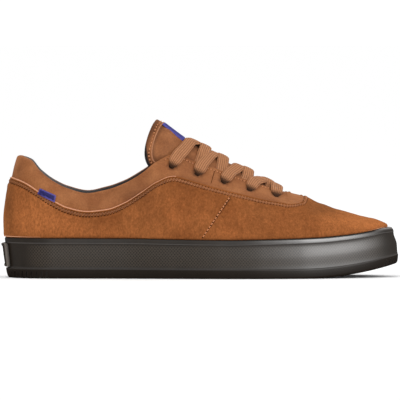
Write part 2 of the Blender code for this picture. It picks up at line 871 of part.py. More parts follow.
def make_insole(material, parts):
    """The sock liner on the cup's floor, cupped a little at its edge."""
    thetas = sole_thetas()
    depth = {t: cup_depth(t, True) + 2.0 * FIT + WALL for t in thetas}
    bm = bmesh.new()
    rows = []
    brim = INSOLE_THICKNESS + INSOLE_CUP
    shape = (
        (0.0, 0.0), (0.0, brim - 0.1 * INSOLE_CUP), (INSOLE_EDGE, brim),
        (INSOLE_SLOPE, INSOLE_THICKNESS))
    for step_in, climb in shape:
        ring = []
        for t in thetas:
            point = ring_point(t, depth[t] + step_in, cup_floor)
            point.z += FIT + climb
            ring.append(bm.verts.new(point))
        rows.append(ring)
    skin(bm, rows, True)
    cap(bm, rows[0])
    cap(bm, rows[-1])
    return new_object("insole", finish_mesh(bm, "insole", 35), material, parts)


# Tongue

TONGUE_ACROSS = 12


def tongue_value(name, a):
    """Reads a column of the tongue's table, from under the vamp (0) to the tip (1)."""
    places = [i / (len(TONGUE) - 1) for i in range(len(TONGUE))]
    values = column(TONGUE_COLUMNS, TONGUE, name)[1]
    return soft_line(places, values, a)


def tongue_point(a, b):
    """A point of the tongue's face. a runs from under the vamp (0) to the tip (1), b from the
    outer edge (-1) to the inner edge (1)."""
    across = math.sin(0.5 * math.pi * b)
    fall = abs(across) ** tongue_value("roll", a)
    crown = tongue_value("x", a)
    bend = fall ** SWEEP_POWER - TUCK * fall ** TUCK_POWER
    x = crown - tongue_value("sweep", a) * bend
    y = centre(crown) + BALL_WIDTH * tongue_value("half", a) * across
    z = tongue_value("height", a) - tongue_value("drop", a) * fall
    return Vector((x * SOLE_LENGTH, y, z * COLLAR_HEIGHT))


def tongue_normal(a, b):
    step = 0.01
    a0, a1 = max(a - step, 0.0), min(a + step, 1.0)
    b0, b1 = max(b - step, -1.0), min(b + step, 1.0)
    along = tongue_point(a1, b) - tongue_point(a0, b)
    across = tongue_point(a, b1) - tongue_point(a, b0)
    normal = along.cross(across).normalized()
    if normal.z < 0.0:
        normal.negate()
    return normal


def tongue_thickness(a, b):
    middle = TONGUE_EDGE + (TONGUE_THICKNESS - TONGUE_EDGE) * (1.0 - b ** 4)
    return middle * tongue_value("thick", a)


def make_tongue(material, parts):
    """The padded tongue, from under the vamp up past the top eyelets."""
    count = 2 * (len(TONGUE) - 1)
    bm = bmesh.new()
    face = []
    back = []
    for i in range(count + 1):
        a = i / count
        face.append([])
        back.append([])
        for k in range(TONGUE_ACROSS + 1):
            b = -1.0 + 2.0 * k / TONGUE_ACROSS
            point = tongue_point(a, b)
            face[-1].append(bm.verts.new(point))
            thick = tongue_thickness(a, b)
            back[-1].append(bm.verts.new(point - tongue_normal(a, b) * thick))
    skin(bm, face, False)
    skin(bm, back, False)
    for i in (0, -1):
        skin(bm, [face[i], back[i]], False)
        skin(bm, [[row[i] for row in face], [row[i] for row in back]], False)
    return new_object("tongue", finish_mesh(bm, "tongue", 50), material, parts)


def make_tongue_label(material, parts):
    """The woven label on the tongue's face, left bare."""
    spots = [i / 200 for i in range(201)]
    tip = tongue_point(1.0, 0.0)
    reach = [(tongue_point(a, 0.0) - tip).length for a in spots]
    top = max(a for a, r in zip(spots, reach) if r > LABEL_INSET)
    foot = max(a for a, r in zip(spots, reach) if r > LABEL_INSET + LABEL_LENGTH)
    bm = bmesh.new()
    low = []
    high = []
    for i in range(7):
        a = foot + (top - foot) * i / 6
        low.append([])
        high.append([])
        reach = 0.5 * LABEL_WIDTH / (BALL_WIDTH * tongue_value("half", a))
        for k in range(9):
            b = reach * (-1.0 + 2.0 * k / 8) * 2.0 / math.pi
            point = tongue_point(a, b)
            normal = tongue_normal(a, b)
            low[-1].append(bm.verts.new(point + normal * FIT))
            high[-1].append(bm.verts.new(point + normal * (FIT + LABEL_THICKNESS)))
    skin(bm, low, False)
    skin(bm, high, False)
    for i in (0, -1):
        skin(bm, [low[i], high[i]], False)
        skin(bm, [[row[i] for row in low], [row[i] for row in high]], False)
    return new_object("tongue_label", finish_mesh(bm, "tongue_label", 35), material, parts)


def make_side_tag(material, parts):
    """The folded tag on the outer collar panel, just above the quarter's raw edge."""
    start = TAG_PLACE - 0.5 * TAG_LENGTH / SOLE_LENGTH
    bm = bmesh.new()
    low = []
    high = []
    for i in range(6):
        share = start + TAG_LENGTH / SOLE_LENGTH * i / 5
        points = section_curve(share, OUTER)
        turn = quarter_share(points, COLLAR_HEIGHT * section_value("quarter", share))
        length = (points[3] - points[0]).length
        low.append([])
        high.append([])
        for k in range(3):
            t = turn + (TAG_INSET + TAG_HEIGHT * k / 2) / length
            point, normal = surface(share, OUTER, t)
            low[-1].append(bm.verts.new(point + normal * FIT))
            high[-1].append(bm.verts.new(point + normal * (FIT + TAG_THICKNESS)))
    skin(bm, low, False)
    skin(bm, high, False)
    for i in (0, -1):
        skin(bm, [low[i], high[i]], False)
        skin(bm, [[row[i] for row in low], [row[i] for row in high]], False)
    return new_object("side_tag", finish_mesh(bm, "side_tag", 35), material, parts)


# Laces

LACE_SIDES = 8
LACE_POINTS = 13


def evaluated_tree(things):
    """One search tree over the finished meshes of some objects."""
    depsgraph = bpy.context.evaluated_depsgraph_get()
    verts = []
    faces = []
    for thing in things:
        shape = thing.evaluated_get(depsgraph)
        mesh = shape.to_mesh()
        base = len(verts)
        verts.extend(v.co.copy() for v in mesh.vertices)
        faces.extend([base + i for i in p.vertices] for p in mesh.polygons)
        shape.to_mesh_clear()
    return BVHTree.FromPolygons(verts, faces)


def rest_height(tree, x, y):
    """The highest surface under a lace's width at a place across the instep."""
    best = 0.0
    for shift in (-0.5, -0.25, 0.0, 0.25, 0.5):
        dx = shift * LACE_WIDTH
        hit = tree.ray_cast(Vector((x + dx, y, 0.3)), Vector((0.0, 0.0, -1.0)))[0]
        if hit is not None:
            best = max(best, hit.z - LACE_SLOPE * dx)
    return best


def taut(points):
    """Keeps the points that a taut lace touches, and lays the rest on the lines between."""
    hull = []
    for point in points:
        while len(hull) > 1:
            a, b = hull[-2], hull[-1]
            if (b[1] - a[1]) * (point[0] - a[0]) <= (point[1] - a[1]) * (b[0] - a[0]):
                hull.pop()
            else:
                break
        hull.append(point)
    xs = [p[0] for p in hull]
    ys = [p[1] for p in hull]
    lifted = []
    for s, _ in points:
        i = max(k for k in range(len(xs) - 1) if xs[k] <= s) if s < xs[-1] else len(xs) - 2
        t = (s - xs[i]) / (xs[i + 1] - xs[i])
        lifted.append(ys[i] + (ys[i + 1] - ys[i]) * t)
    return lifted


def lace_strand(tree, start, stop, bow, lift):
    """A flat oval lace laid tight over the instep, from one place to another."""
    dense = 4 * (LACE_POINTS - 1) + 1
    flat = Vector((stop.x - start.x, stop.y - start.y, 0.0))
    places = []
    for i in range(dense):
        s = i / (dense - 1)
        x = start.x + flat.x * s + bow * math.sin(math.pi * s)
        y = start.y + flat.y * s
        places.append((s * flat.length, x, y))
    heights = taut([(s, rest_height(tree, x, y)) for s, x, y in places])
    path = [Vector((places[i][1], places[i][2], heights[i])) for i in range(0, dense, 4)]
    clear = LACE_FIT + 0.5 * LACE_THICKNESS
    bm = bmesh.new()
    rings = []
    for i, point in enumerate(path):
        before = path[max(i - 1, 0)]
        after = path[min(i + 1, len(path) - 1)]
        along = (after - before).normalized()
        wide = Vector((1.0, 0.0, LACE_SLOPE))
        wide = (wide - along * wide.dot(along)).normalized()
        out = wide.cross(along)
        if out.z < 0.0:
            out.negate()
        middle = point + out * (clear + lift * math.sin(math.pi * i / (len(path) - 1)) ** 2)
        ring = []
        for k in range(LACE_SIDES):
            angle = 2.0 * math.pi * (k + 0.5) / LACE_SIDES
            a = 0.5 * LACE_WIDTH * math.copysign(abs(math.cos(angle)) ** 0.8, math.cos(angle))
            c = 0.5 * LACE_THICKNESS * math.copysign(abs(math.sin(angle)) ** 0.6, math.sin(angle))
            ring.append(bm.verts.new(middle + wide * a + out * c))
        rings.append(ring)
    skin(bm, rings, True)
    bm.faces.new(rings[0])
    bm.faces.new(rings[-1])
    return finish_mesh(bm, "lace", 45)


def over_eyelet(i, side):
    """Where a lace lies on the eyestay as it reaches an eyelet."""
    return eyelet(i, side)[0]


def at_throat(i, side):
    """Where a crossing lace comes clear of the next lace, beside an eyelet in the throat."""
    back = BESIDE_BAR if i == EYELETS - 1 else BESIDE_LACE
    share = eyelet_share(i) - back / SOLE_LENGTH
    edge = crest(share, side)
    middle = centre(share)
    edge.y = middle + INTO_THROAT * (edge.y - middle)
    return edge


def make_laces(material, parts, cutters, carriers):
    """A bar at the toe and a crossing for each pair of eyelets above it."""
    tree = evaluated_tree(carriers)
    last = EYELETS - 1
    bow, _, lift = LACES[last]
    bar = lace_strand(tree, over_eyelet(last, OUTER), over_eyelet(last, INNER), bow, lift)
    new_object("lace_bar", bar, material, parts)
    for i in range(last):
        over_bow, under_bow, lift = LACES[i]
        under = lace_strand(tree, at_throat(i + 1, OUTER), over_eyelet(i, INNER), under_bow, lift)
        over = lace_strand(
            tree, at_throat(i + 1, INNER), over_eyelet(i, OUTER), over_bow, lift + CROSSING_LIFT)
        crossing = new_object("lace_crossing_%d" % (i + 1), over, material, parts)
        other = new_object("lace_%d_joined" % (i + 1), under, material, cutters)
        as_cutter(other, cutters)
        cut(crossing, other, "UNION")


# Materials and assembly

def material(name, colour, roughness):
    made = bpy.data.materials.new(name)
    made.use_nodes = True
    shader = made.node_tree.nodes["Principled BSDF"]
    shader.inputs["Base Color"].default_value = (*colour, 1.0)
    shader.inputs["Roughness"].default_value = roughness
    shader.inputs["Metallic"].default_value = 0.0
    made.diffuse_color = (*colour, 1.0)
    return made


def shift_to_floor(things):
    """How far to move the parts so that the origin is under the middle of the whole shoe."""
    depsgraph = bpy.context.evaluated_depsgraph_get()
    corners = []
    for thing in things:
        shape = thing.evaluated_get(depsgraph)
        mesh = shape.to_mesh()
        corners.extend(v.co.copy() for v in mesh.vertices)
        shape.to_mesh_clear()
    low = [min(c[i] for c in corners) for i in range(3)]
    high = [max(c[i] for c in corners) for i in range(3)]
    return Vector((-0.5 * (low[0] + high[0]), -0.5 * (low[1] + high[1]), -low[2]))


def main():
    for thing in list(bpy.data.objects):
        bpy.data.objects.remove(thing, do_unlink=True)
    parts = bpy.data.collections.new("skateboarding_shoe")
    cutters = bpy.data.collections.new("cutters")
    bpy.context.scene.collection.children.link(parts)
    bpy.context.scene.collection.children.link(cutters)

    rubber = material("rubber", (0.045, 0.036, 0.031), 0.5)
    suede = material("suede", (0.36, 0.145, 0.05), 0.9)
    lining = material("lining", (0.012, 0.011, 0.011), 0.85)
    woven = material("woven", (0.05, 0.045, 0.27), 0.6)
    cord = material("cord", (0.38, 0.18, 0.09), 0.8)

    make_outsole(rubber, parts, cutters)
    make_heel_plate(rubber, parts)
    upper = make_upper(suede, parts, cutters)
    make_insole(lining, parts)
    tongue = make_tongue(suede, parts)
    label = make_tongue_label(woven, parts)
    make_side_tag(woven, parts)
    bpy.context.view_layer.update()
    make_laces(cord, parts, cutters, (upper, tongue, label))
    bpy.context.view_layer.update()

    shift = shift_to_floor(parts.objects)
    for thing in list(parts.objects) + list(cutters.objects):
        thing.location = thing.location + shift


main()
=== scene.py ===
# The looks of the skateboarding shoe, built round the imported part.
# +X points to the toe, +Z up, and -Y is the outer side of the right foot. Lengths are in metres.

import math

import bmesh
import bpy
import numpy as np
from mathutils import Matrix, Vector
from mathutils.bvhtree import BVHTree


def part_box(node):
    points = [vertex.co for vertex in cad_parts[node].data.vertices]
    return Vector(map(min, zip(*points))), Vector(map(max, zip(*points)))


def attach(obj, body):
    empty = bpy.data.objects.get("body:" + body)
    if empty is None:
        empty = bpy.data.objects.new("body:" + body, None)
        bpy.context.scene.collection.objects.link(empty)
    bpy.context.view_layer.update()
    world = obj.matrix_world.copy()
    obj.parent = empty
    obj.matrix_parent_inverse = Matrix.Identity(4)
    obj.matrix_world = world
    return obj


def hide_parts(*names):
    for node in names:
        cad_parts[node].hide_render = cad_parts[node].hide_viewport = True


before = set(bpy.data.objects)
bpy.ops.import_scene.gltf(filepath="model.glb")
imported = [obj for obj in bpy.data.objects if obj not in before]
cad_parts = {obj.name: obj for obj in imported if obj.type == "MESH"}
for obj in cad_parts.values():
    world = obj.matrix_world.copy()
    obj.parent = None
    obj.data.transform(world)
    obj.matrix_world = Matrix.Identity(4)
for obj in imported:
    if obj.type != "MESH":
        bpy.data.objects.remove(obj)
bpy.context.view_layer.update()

# Sizes, tables and shape functions of the shoe, in the frame of its sole's outline

SOLE_LENGTH = 0.297
BALL_WIDTH = 0.106
SIDE_HEIGHT = 0.030
TOE_SPRING = 0.0107
FLAT_END = 0.75
TOE_SWING = 0.011
SWING_START = 0.35
HEEL_ROUND = 0.125
TOE_ROUND = 0.33
ROUNDNESS = 2.15
HEEL_STACK = 0.017
BALL_STACK = 0.012
STACK_FALL = 0.28
STACK_LOW = 0.68
RIM_WALL = 0.0016
CUP_WALL = 0.0034
TOE_LIP = 0.0052
GROOVE_WIDTH = 0.0018
GROOVE_DEPTH = 0.0015
GROOVE_BORDER = 0.010
GROOVE_SWING = 0.0028
GROOVE_LEGS = 6
NICK_PITCH = 0.0042
NICK_WIDTH = 0.0011
NICK_DEPTH = 0.0006
NICK_HEIGHT = 0.0046
NICK_FOOT = 0.03
NICK_LEAN_HEEL = 0.15
NICK_LEAN_TOE = 0.45
HEEL_NICKS_END = 0.11
TOE_NICKS_START = 0.955
COLLAR_HEIGHT = 0.0918
WALL = 0.0022
COLLAR_PAD = 0.0066
EDGE_DROP = 0.31
PAD_END = 0.27
PAD_FADE = 0.40
OVERLAY = 0.0010
OVERLAY_STEP = 0.0008
HEEL_BULGE = 0.0012
SIDE_SETBACK = 0.0008
CLIMB_HEEL = 0.0032
CLIMB_SIDE = 0.0030
CLIMB_TOE = 0.0010
SECTION_PULL = 0.36
QUARTER_LOWEST = 0.25
QUARTER_HIGHEST = 0.88
EYELETS = 5
FIRST_EYELET = 0.427
LAST_EYELET = 0.686
EYELET_INSET = 0.0105
EYELET_DIAMETER = 0.0046
INSOLE_THICKNESS = 0.0042
INSOLE_CUP = 0.0021
TONGUE_THICKNESS = 0.0065
TONGUE_EDGE = 0.0030
LACE_WIDTH = 0.0094
LACE_THICKNESS = 0.0028
LACE_SLOPE = -0.46
PLATE_WIDTH = 0.027
PLATE_THICKNESS = 0.0031
PLATE_RELIEF = 0.0005
LABEL_LENGTH = 0.020
LABEL_WIDTH = 0.021
LABEL_INSET = 0.0055
LABEL_SPREAD = 0.41
FIT = 0.0003
CUT_PAST = 0.001
LIP_RISE = 0.00025
OUTER = -1
INNER = 1
OUTLINE_COLUMNS = ("share", "outer", "inner")
OUTLINE = (
    (0.00, 0.335, 0.335),
    (0.15, 0.345, 0.340),
    (0.30, 0.362, 0.328),
    (0.42, 0.408, 0.338),
    (0.55, 0.466, 0.402),
    (0.66, 0.490, 0.470),
    (0.75, 0.488, 0.498),
    (0.86, 0.450, 0.488),
    (1.00, 0.400, 0.450),
)
TOP_EDGE_COLUMNS = ("share", "height")
TOP_EDGE = (
    (0.000, 1.000),
    (0.300, 0.995),
    (0.480, 0.965),
    (0.570, 0.958),
    (0.660, 0.975),
    (0.800, 1.020),
    (0.864, 1.073),
    (0.928, 1.160),
    (0.965, 1.235),
    (1.000, 1.250),
)
PROFILE_COLUMNS = ("rise", "heel", "side", "toe")
PROFILE = (
    (0.000, 0.100, 0.055, 0.055),
    (0.030, 0.077, 0.028, 0.024),
    (0.235, 0.030, 0.008, 0.004),
    (0.255, 0.100, 0.030, 0.016),
    (0.550, 0.065, 0.014, 0.040),
    (0.865, 0.016, 0.010, 0.122),
    (0.885, 0.007, 0.001, 0.118),
    (0.975, 0.000, 0.005, 0.155),
    (1.000, 0.012, 0.018, 0.178),
)
SECTION_COLUMNS = (
    "share", "edge_x", "outer", "inner", "top_outer", "top_inner", "foot", "end", "quarter")
SECTIONS = (
    (0.000, 0.042, 0.240, 0.240, 1.006, 1.006, 92, 74, 0.818),
    (0.030, 0.066, 0.250, 0.250, 0.976, 0.976, 91, 76, 0.784),
    (0.065, 0.094, 0.260, 0.260, 0.876, 0.876, 90, 78, 0.716),
    (0.105, 0.125, 0.271, 0.271, 0.799, 0.799, 90, 79, 0.642),
    (0.155, 0.165, 0.278, 0.275, 0.738, 0.740, 90, 79, 0.575),
    (0.210, 0.212, 0.282, 0.275, 0.705, 0.711, 90, 79, 0.545),
    (0.260, 0.260, 0.281, 0.271, 0.730, 0.742, 90, 77, 0.560),
    (0.305, 0.305, 0.276, 0.265, 0.784, 0.798, 89, 73, 0.615),
    (0.350, 0.350, 0.262, 0.252, 0.868, 0.880, 88, 66, 0.702),
    (0.390, 0.390, 0.236, 0.230, 0.968, 0.974, 87, 56, 0.787),
    (0.430, 0.430, 0.203, 0.200, 1.022, 1.026, 86, 47, 0.831),
    (0.480, 0.480, 0.178, 0.176, 0.962, 0.966, 84, 42, 0.788),
    (0.540, 0.540, 0.160, 0.158, 0.895, 0.899, 82, 38, 0.730),
    (0.610, 0.610, 0.136, 0.134, 0.812, 0.815, 79, 32, 0.670),
    (0.670, 0.670, 0.102, 0.102, 0.744, 0.746, 76, 22, 0.623),
    (0.700, 0.700, 0.068, 0.068, 0.714, 0.714, 74, 12, 0.607),
    (0.711, 0.711, 0.030, 0.030, 0.705, 0.705, 73, 4, 0.601),
    (0.714, 0.714, 0.000, 0.000, 0.703, 0.703, 73, 0, 0.599),
    (0.740, 0.736, 0.000, 0.000, 0.680, 0.680, 72, 0, 0.601),
    (0.753, 0.747, 0.000, 0.000, 0.668, 0.668, 71, 0, 0.614),
    (0.765, 0.757, 0.000, 0.000, 0.656, 0.656, 70, 0, 0.642),
    (0.830, 0.802, 0.000, 0.000, 0.590, 0.590, 65, 0, 0.545),
    (0.890, 0.845, 0.000, 0.000, 0.541, 0.541, 56, 0, 0.500),
    (0.945, 0.890, 0.000, 0.000, 0.494, 0.494, 43, 0, 0.460),
    (0.980, 0.920, 0.000, 0.000, 0.463, 0.463, 33, 0, 0.440),
    (1.000, 0.936, 0.000, 0.000, 0.447, 0.447, 27, 0, 0.430),
)
THROAT_FRONT = 0.714
EYESTAY_FRONT = 0.765
CORNER = 0.43
GROOVE_FIELDS = (
    (0.055, 0.285, 6),
    (0.455, 0.880, 11),
)
TONGUE_COLUMNS = ("x", "height", "half", "drop", "sweep", "thick", "roll")
TONGUE = (
    (0.752, 0.607, 0.090, 0.020, 0.000, 0.35, 1.9),
    (0.722, 0.643, 0.120, 0.050, 0.000, 0.40, 1.9),
    (0.690, 0.716, 0.160, 0.115, 0.000, 0.55, 1.9),
    (0.640, 0.805, 0.195, 0.175, 0.000, 0.80, 1.9),
    (0.585, 0.900, 0.212, 0.215, 0.000, 1.00, 1.9),
    (0.530, 0.990, 0.225, 0.250, 0.000, 1.00, 1.9),
    (0.482, 1.080, 0.228, 0.300, 0.005, 1.00, 2.2),
    (0.450, 1.148, 0.226, 0.340, 0.024, 1.00, 2.7),
    (0.424, 1.210, 0.224, 0.362, 0.038, 1.00, 3.2),
    (0.402, 1.264, 0.221, 0.378, 0.046, 0.85, 3.6),
    (0.388, 1.298, 0.212, 0.388, 0.048, 0.55, 3.8),
)
SWEEP_POWER = 0.63
TUCK = 0.53
TUCK_POWER = 4.5
SOLE_STEPS = 34
PLATE_FOOT = 0.268
PLATE_TOP = 0.862


def column(columns, table, name):
    """Returns the share and value columns of a table as two lists."""
    place = columns.index(name)
    return [row[0] for row in table], [row[place] for row in table]


def soft_line(xs, ys, x):
    """Reads a smooth curve through the points, with no overshoot between them."""
    if x <= xs[0]:
        return ys[0]
    if x >= xs[-1]:
        return ys[-1]
    i = max(k for k in range(len(xs) - 1) if xs[k] <= x)
    steps = [xs[k + 1] - xs[k] for k in range(len(xs) - 1)]
    slopes = [(ys[k + 1] - ys[k]) / steps[k] for k in range(len(xs) - 1)]

    def tangent(k):
        if k == 0:
            return slopes[0]
        if k == len(xs) - 1:
            return slopes[-1]
        a, b = slopes[k - 1], slopes[k]
        if a * b <= 0.0:
            return 0.0
        wa = 2.0 * steps[k] + steps[k - 1]
        wb = steps[k] + 2.0 * steps[k - 1]
        return (wa + wb) / (wa / a + wb / b)

    h = steps[i]
    t = (x - xs[i]) / h
    m0 = tangent(i) * h
    m1 = tangent(i + 1) * h
    a = (2 * t ** 3 - 3 * t ** 2 + 1) * ys[i] + (t ** 3 - 2 * t ** 2 + t) * m0
    b = (-2 * t ** 3 + 3 * t ** 2) * ys[i + 1] + (t ** 3 - t ** 2) * m1
    return a + b


def ease(t):
    """Runs smoothly from 0 to 1 as t does, and stays there outside."""
    t = min(max(t, 0.0), 1.0)
    return t * t * (3.0 - 2.0 * t)


def end_round(t, reach):
    """Rounds an end of the outline: 0 at the end itself, 1 from reach on."""
    if t >= reach:
        return 1.0
    return (1.0 - (1.0 - max(t, 0.0) / reach) ** ROUNDNESS) ** (1.0 / ROUNDNESS)


def centre(share):
    """The shoe's centre line, which swings to the inner side at the toe."""
    return TOE_SWING * ease((share - SWING_START) / (1.0 - SWING_START))


def side_name(side):
    return "outer" if side == OUTER else "inner"


def ends(share):
    return end_round(share, HEEL_ROUND) * end_round(1.0 - share, TOE_ROUND)


def half_width(share, side):
    """The sole's width on one side of the centre line."""
    xs, ys = column(OUTLINE_COLUMNS, OUTLINE, side_name(side))
    return BALL_WIDTH * soft_line(xs, ys, share) * ends(share)


def outline(theta):
    """A point of the sole's widest outline. theta runs from the heel (0) along the outer side
    to the toe (pi) and back along the inner side."""
    share = 0.5 * (1.0 - math.cos(theta))
    side = OUTER if math.sin(theta) >= 0.0 else INNER
    return Vector((share * SOLE_LENGTH, centre(share) + side * half_width(share, side), 0.0))


def inward(theta):
    """The horizontal direction into the shoe at a point of the outline."""
    step = 0.004
    along = outline(theta + step) - outline(theta - step)
    return Vector((-along.y, along.x, 0.0)).normalized()


def ground(x):
    """Height of the sole's underside, which lifts towards the toe."""
    rise = (x / SOLE_LENGTH - FLAT_END) / (1.0 - FLAT_END)
    return TOE_SPRING * max(rise, 0.0) ** 2


def rim(x):
    """Height of the top edge of the sole's side."""
    xs, ys = column(TOP_EDGE_COLUMNS, TOP_EDGE, "height")
    return SIDE_HEIGHT * soft_line(xs, ys, x / SOLE_LENGTH)


def cup_floor(x):
    """Height of the floor inside the cup."""
    share = ease((x / SOLE_LENGTH - STACK_FALL) / (STACK_LOW - STACK_FALL))
    return ground(x) + HEEL_STACK + (BALL_STACK - HEEL_STACK) * share


def by_end(theta, heel, side, toe):
    """Blends three values by where the outline faces: back, sideways or forwards."""
    facing = inward(theta).x
    if facing > 0.0:
        return side + (heel - side) * facing ** 2
    return side + (toe - side) * facing ** 2


def side_point(theta, rise, out=0.0):
    """A point of the sole's side at a share of its height, moved out by a distance."""
    depths = []
    for name in ("heel", "side", "toe"):
        xs, ys = column(PROFILE_COLUMNS, PROFILE, name)
        if rise in xs:
            depths.append(ys[xs.index(rise)])
        else:
            depths.append(soft_line(xs, ys, rise))
    depth = SIDE_HEIGHT * by_end(theta, *depths) - out
    point = outline(theta) + inward(theta) * depth
    low = ground(point.x)
    point.z = low + (rim(point.x) - low) * rise
    return point


def cup_depth(theta, low):
    """How far inside the outline the cup's inner wall lies, at its floor or at its rim."""
    top = SIDE_HEIGHT * by_end(theta, PROFILE[-1][1], PROFILE[-1][2], PROFILE[-1][3])
    wall = by_end(theta, RIM_WALL, RIM_WALL, TOE_LIP)
    if low:
        wall = max(wall, CUP_WALL)
    return top + wall


def ring_point(theta, depth, height):
    """A point inside the outline by depth, at a height worked out from its x."""
    point = outline(theta) + inward(theta) * depth
    point.z = height(point.x)
    return point


def section_value(name, share):
    xs, ys = column(SECTION_COLUMNS, SECTIONS, name)
    return soft_line(xs, ys, share)


def theta_of(share, side):
    theta = math.acos(1.0 - 2.0 * min(max(share, 0.0), 1.0))
    return theta if side == OUTER else 2.0 * math.pi - theta


def pad(share):
    """How far the collar is padded: 1 round the ankle, 0 at the throat and on the vamp."""
    return 1.0 - ease((share - PAD_END) / (PAD_FADE - PAD_END))


def edge_thickness(share):
    return WALL + (COLLAR_PAD - WALL) * pad(share)


def crest(share, side):
    """The highest line of the upper's top edge, or the ridge of the vamp."""
    edge_x = section_value("edge_x", share)
    half = BALL_WIDTH * section_value(side_name(side), share) * end_round(share, HEEL_ROUND)
    height = COLLAR_HEIGHT * section_value("top_" + side_name(side), share)
    return Vector((edge_x * SOLE_LENGTH, centre(edge_x) + side * half, height))


def upper_foot(theta, row):
    """The three lowest rows of the upper: at the cup's floor, at its rim, and over the rim."""
    if row == 0:
        point = ring_point(theta, cup_depth(theta, True) + FIT, cup_floor)
        point.z += FIT
        return point
    if row == 1:
        point = ring_point(theta, cup_depth(theta, False) + FIT, rim)
        point.z += FIT
        return point
    reach = cup_depth(theta, False) + FIT
    out = by_end(theta, reach + HEEL_BULGE - OVERLAY, reach - SIDE_SETBACK - OVERLAY, 0.0)
    climb = by_end(theta, CLIMB_HEEL, CLIMB_SIDE, CLIMB_TOE)
    out_share, climb_share = (0.75, 0.2) if row == 2 else (1.0, 1.0)
    point = ring_point(theta, reach - out * out_share, rim)
    point.z += FIT + climb * climb_share
    return point


def section_curve(share, side):
    """The four control points of a section, from above the rim to the top edge."""
    theta = theta_of(share, side)
    into = inward(theta)
    foot = upper_foot(theta, 3)
    top = crest(share, side)
    if share < THROAT_FRONT:
        thick = edge_thickness(share)
        top = top - into * (0.5 * thick) - Vector((0.0, 0.0, EDGE_DROP * thick))
        flat = into
    else:
        step = 0.01
        ahead = crest(min(share + step, 1.0), side)
        behind = crest(min(share + step, 1.0) - 2.0 * step, side)
        run = (ahead - behind).normalized()
        flat = Vector((into.x * run.x, into.y, into.x * run.z)).normalized()
    foot_angle = math.radians(section_value("foot", share))
    end_angle = math.radians(section_value("end", share))
    up = Vector((0.0, 0.0, 1.0))
    leave = into * math.cos(foot_angle) + up * math.sin(foot_angle)
    arrive = flat * math.cos(end_angle) + up * math.sin(end_angle)
    pull = (top - foot).length * SECTION_PULL
    return foot, foot + leave * pull, top - arrive * pull, top


def bezier(points, t):
    a, b, c, d = points
    s = 1.0 - t
    return a * s ** 3 + b * (3 * s * s * t) + c * (3 * s * t * t) + d * t ** 3


def quarter_share(points, height):
    """Where on its section the quarter's raw edge lies, by height."""
    low, high = 0.0, 1.0
    for _ in range(24):
        t = 0.5 * (low + high)
        if bezier(points, t).z < height:
            low = t
        else:
            high = t
    return min(max(low, QUARTER_LOWEST), QUARTER_HIGHEST)


def surface(share, side, t):
    """A point of the upper's outer form and its outward direction."""
    here = bezier(section_curve(share, side), t)
    step = 0.004
    up = bezier(section_curve(share, side), min(t + step, 1.0)) - here
    if t + step > 1.0:
        up = here - bezier(section_curve(share, side), t - step)
    ahead = bezier(section_curve(share + step, side), t) - here
    normal = ahead.cross(up).normalized()
    if normal.y * side < 0.0:
        normal.negate()
    return here, normal


def down_from_edge(share, side, distance):
    """The section's parameter at a distance below the top edge, along the wall."""
    points = section_curve(share, side)
    t = 1.0
    travelled = 0.0
    last = bezier(points, t)
    while travelled < distance and t > 0.02:
        t -= 0.01
        here = bezier(points, t)
        travelled += (here - last).length
        last = here
    return t


def eyelet_share(i):
    return FIRST_EYELET + (LAST_EYELET - FIRST_EYELET) * i / (EYELETS - 1)


def eyelet(i, side):
    """The middle of an eyelet on the outer form, and the direction out of it."""
    share = eyelet_share(i)
    return surface(share, side, down_from_edge(share, side, EYELET_INSET))


def tongue_value(name, a):
    """Reads a column of the tongue's table, from under the vamp (0) to the tip (1)."""
    places = [i / (len(TONGUE) - 1) for i in range(len(TONGUE))]
    values = column(TONGUE_COLUMNS, TONGUE, name)[1]
    return soft_line(places, values, a)


def tongue_point(a, b):
    """A point of the tongue's face. a runs from under the vamp (0) to the tip (1), b from the
    outer edge (-1) to the inner edge (1)."""
    across = math.sin(0.5 * math.pi * b)
    fall = abs(across) ** tongue_value("roll", a)
    crown = tongue_value("x", a)
    bend = fall ** SWEEP_POWER - TUCK * fall ** TUCK_POWER
    x = crown - tongue_value("sweep", a) * bend
    y = centre(crown) + BALL_WIDTH * tongue_value("half", a) * across
    z = tongue_value("height", a) - tongue_value("drop", a) * fall
    return Vector((x * SOLE_LENGTH, y, z * COLLAR_HEIGHT))


def tongue_normal(a, b):
    step = 0.01
    a0, a1 = max(a - step, 0.0), min(a + step, 1.0)
    b0, b1 = max(b - step, -1.0), min(b + step, 1.0)
    along = tongue_point(a1, b) - tongue_point(a0, b)
    across = tongue_point(a, b1) - tongue_point(a, b0)
    normal = along.cross(across).normalized()
    if normal.z < 0.0:
        normal.negate()
    return normal


def tongue_thickness(a, b):
    middle = TONGUE_EDGE + (TONGUE_THICKNESS - TONGUE_EDGE) * (1.0 - b ** 4)
    return middle * tongue_value("thick", a)


def taut(points):
    """Keeps the points that a taut lace touches, and lays the rest on the lines between."""
    hull = []
    for point in points:
        while len(hull) > 1:
            a, b = hull[-2], hull[-1]
            if (b[1] - a[1]) * (point[0] - a[0]) <= (point[1] - a[1]) * (b[0] - a[0]):
                hull.pop()
            else:
                break
        hull.append(point)
    xs = [p[0] for p in hull]
    ys = [p[1] for p in hull]
    lifted = []
    for s, _ in points:
        i = max(k for k in range(len(xs) - 1) if xs[k] <= s) if s < xs[-1] else len(xs) - 2
        t = (s - xs[i]) / (xs[i + 1] - xs[i])
        lifted.append(ys[i] + (ys[i + 1] - ys[i]) * t)
    return lifted


# Common helpers

def frame_shift():
    """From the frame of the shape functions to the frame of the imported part."""
    thetas = [math.pi * i / SOLE_STEPS for i in range(2 * SOLE_STEPS)]
    low = np.array([side_point(t, row[0]) for t in thetas for row in PROFILE]).min(axis=0)
    return np.array(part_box("outsole")[0]) - low


SHIFT = frame_shift()


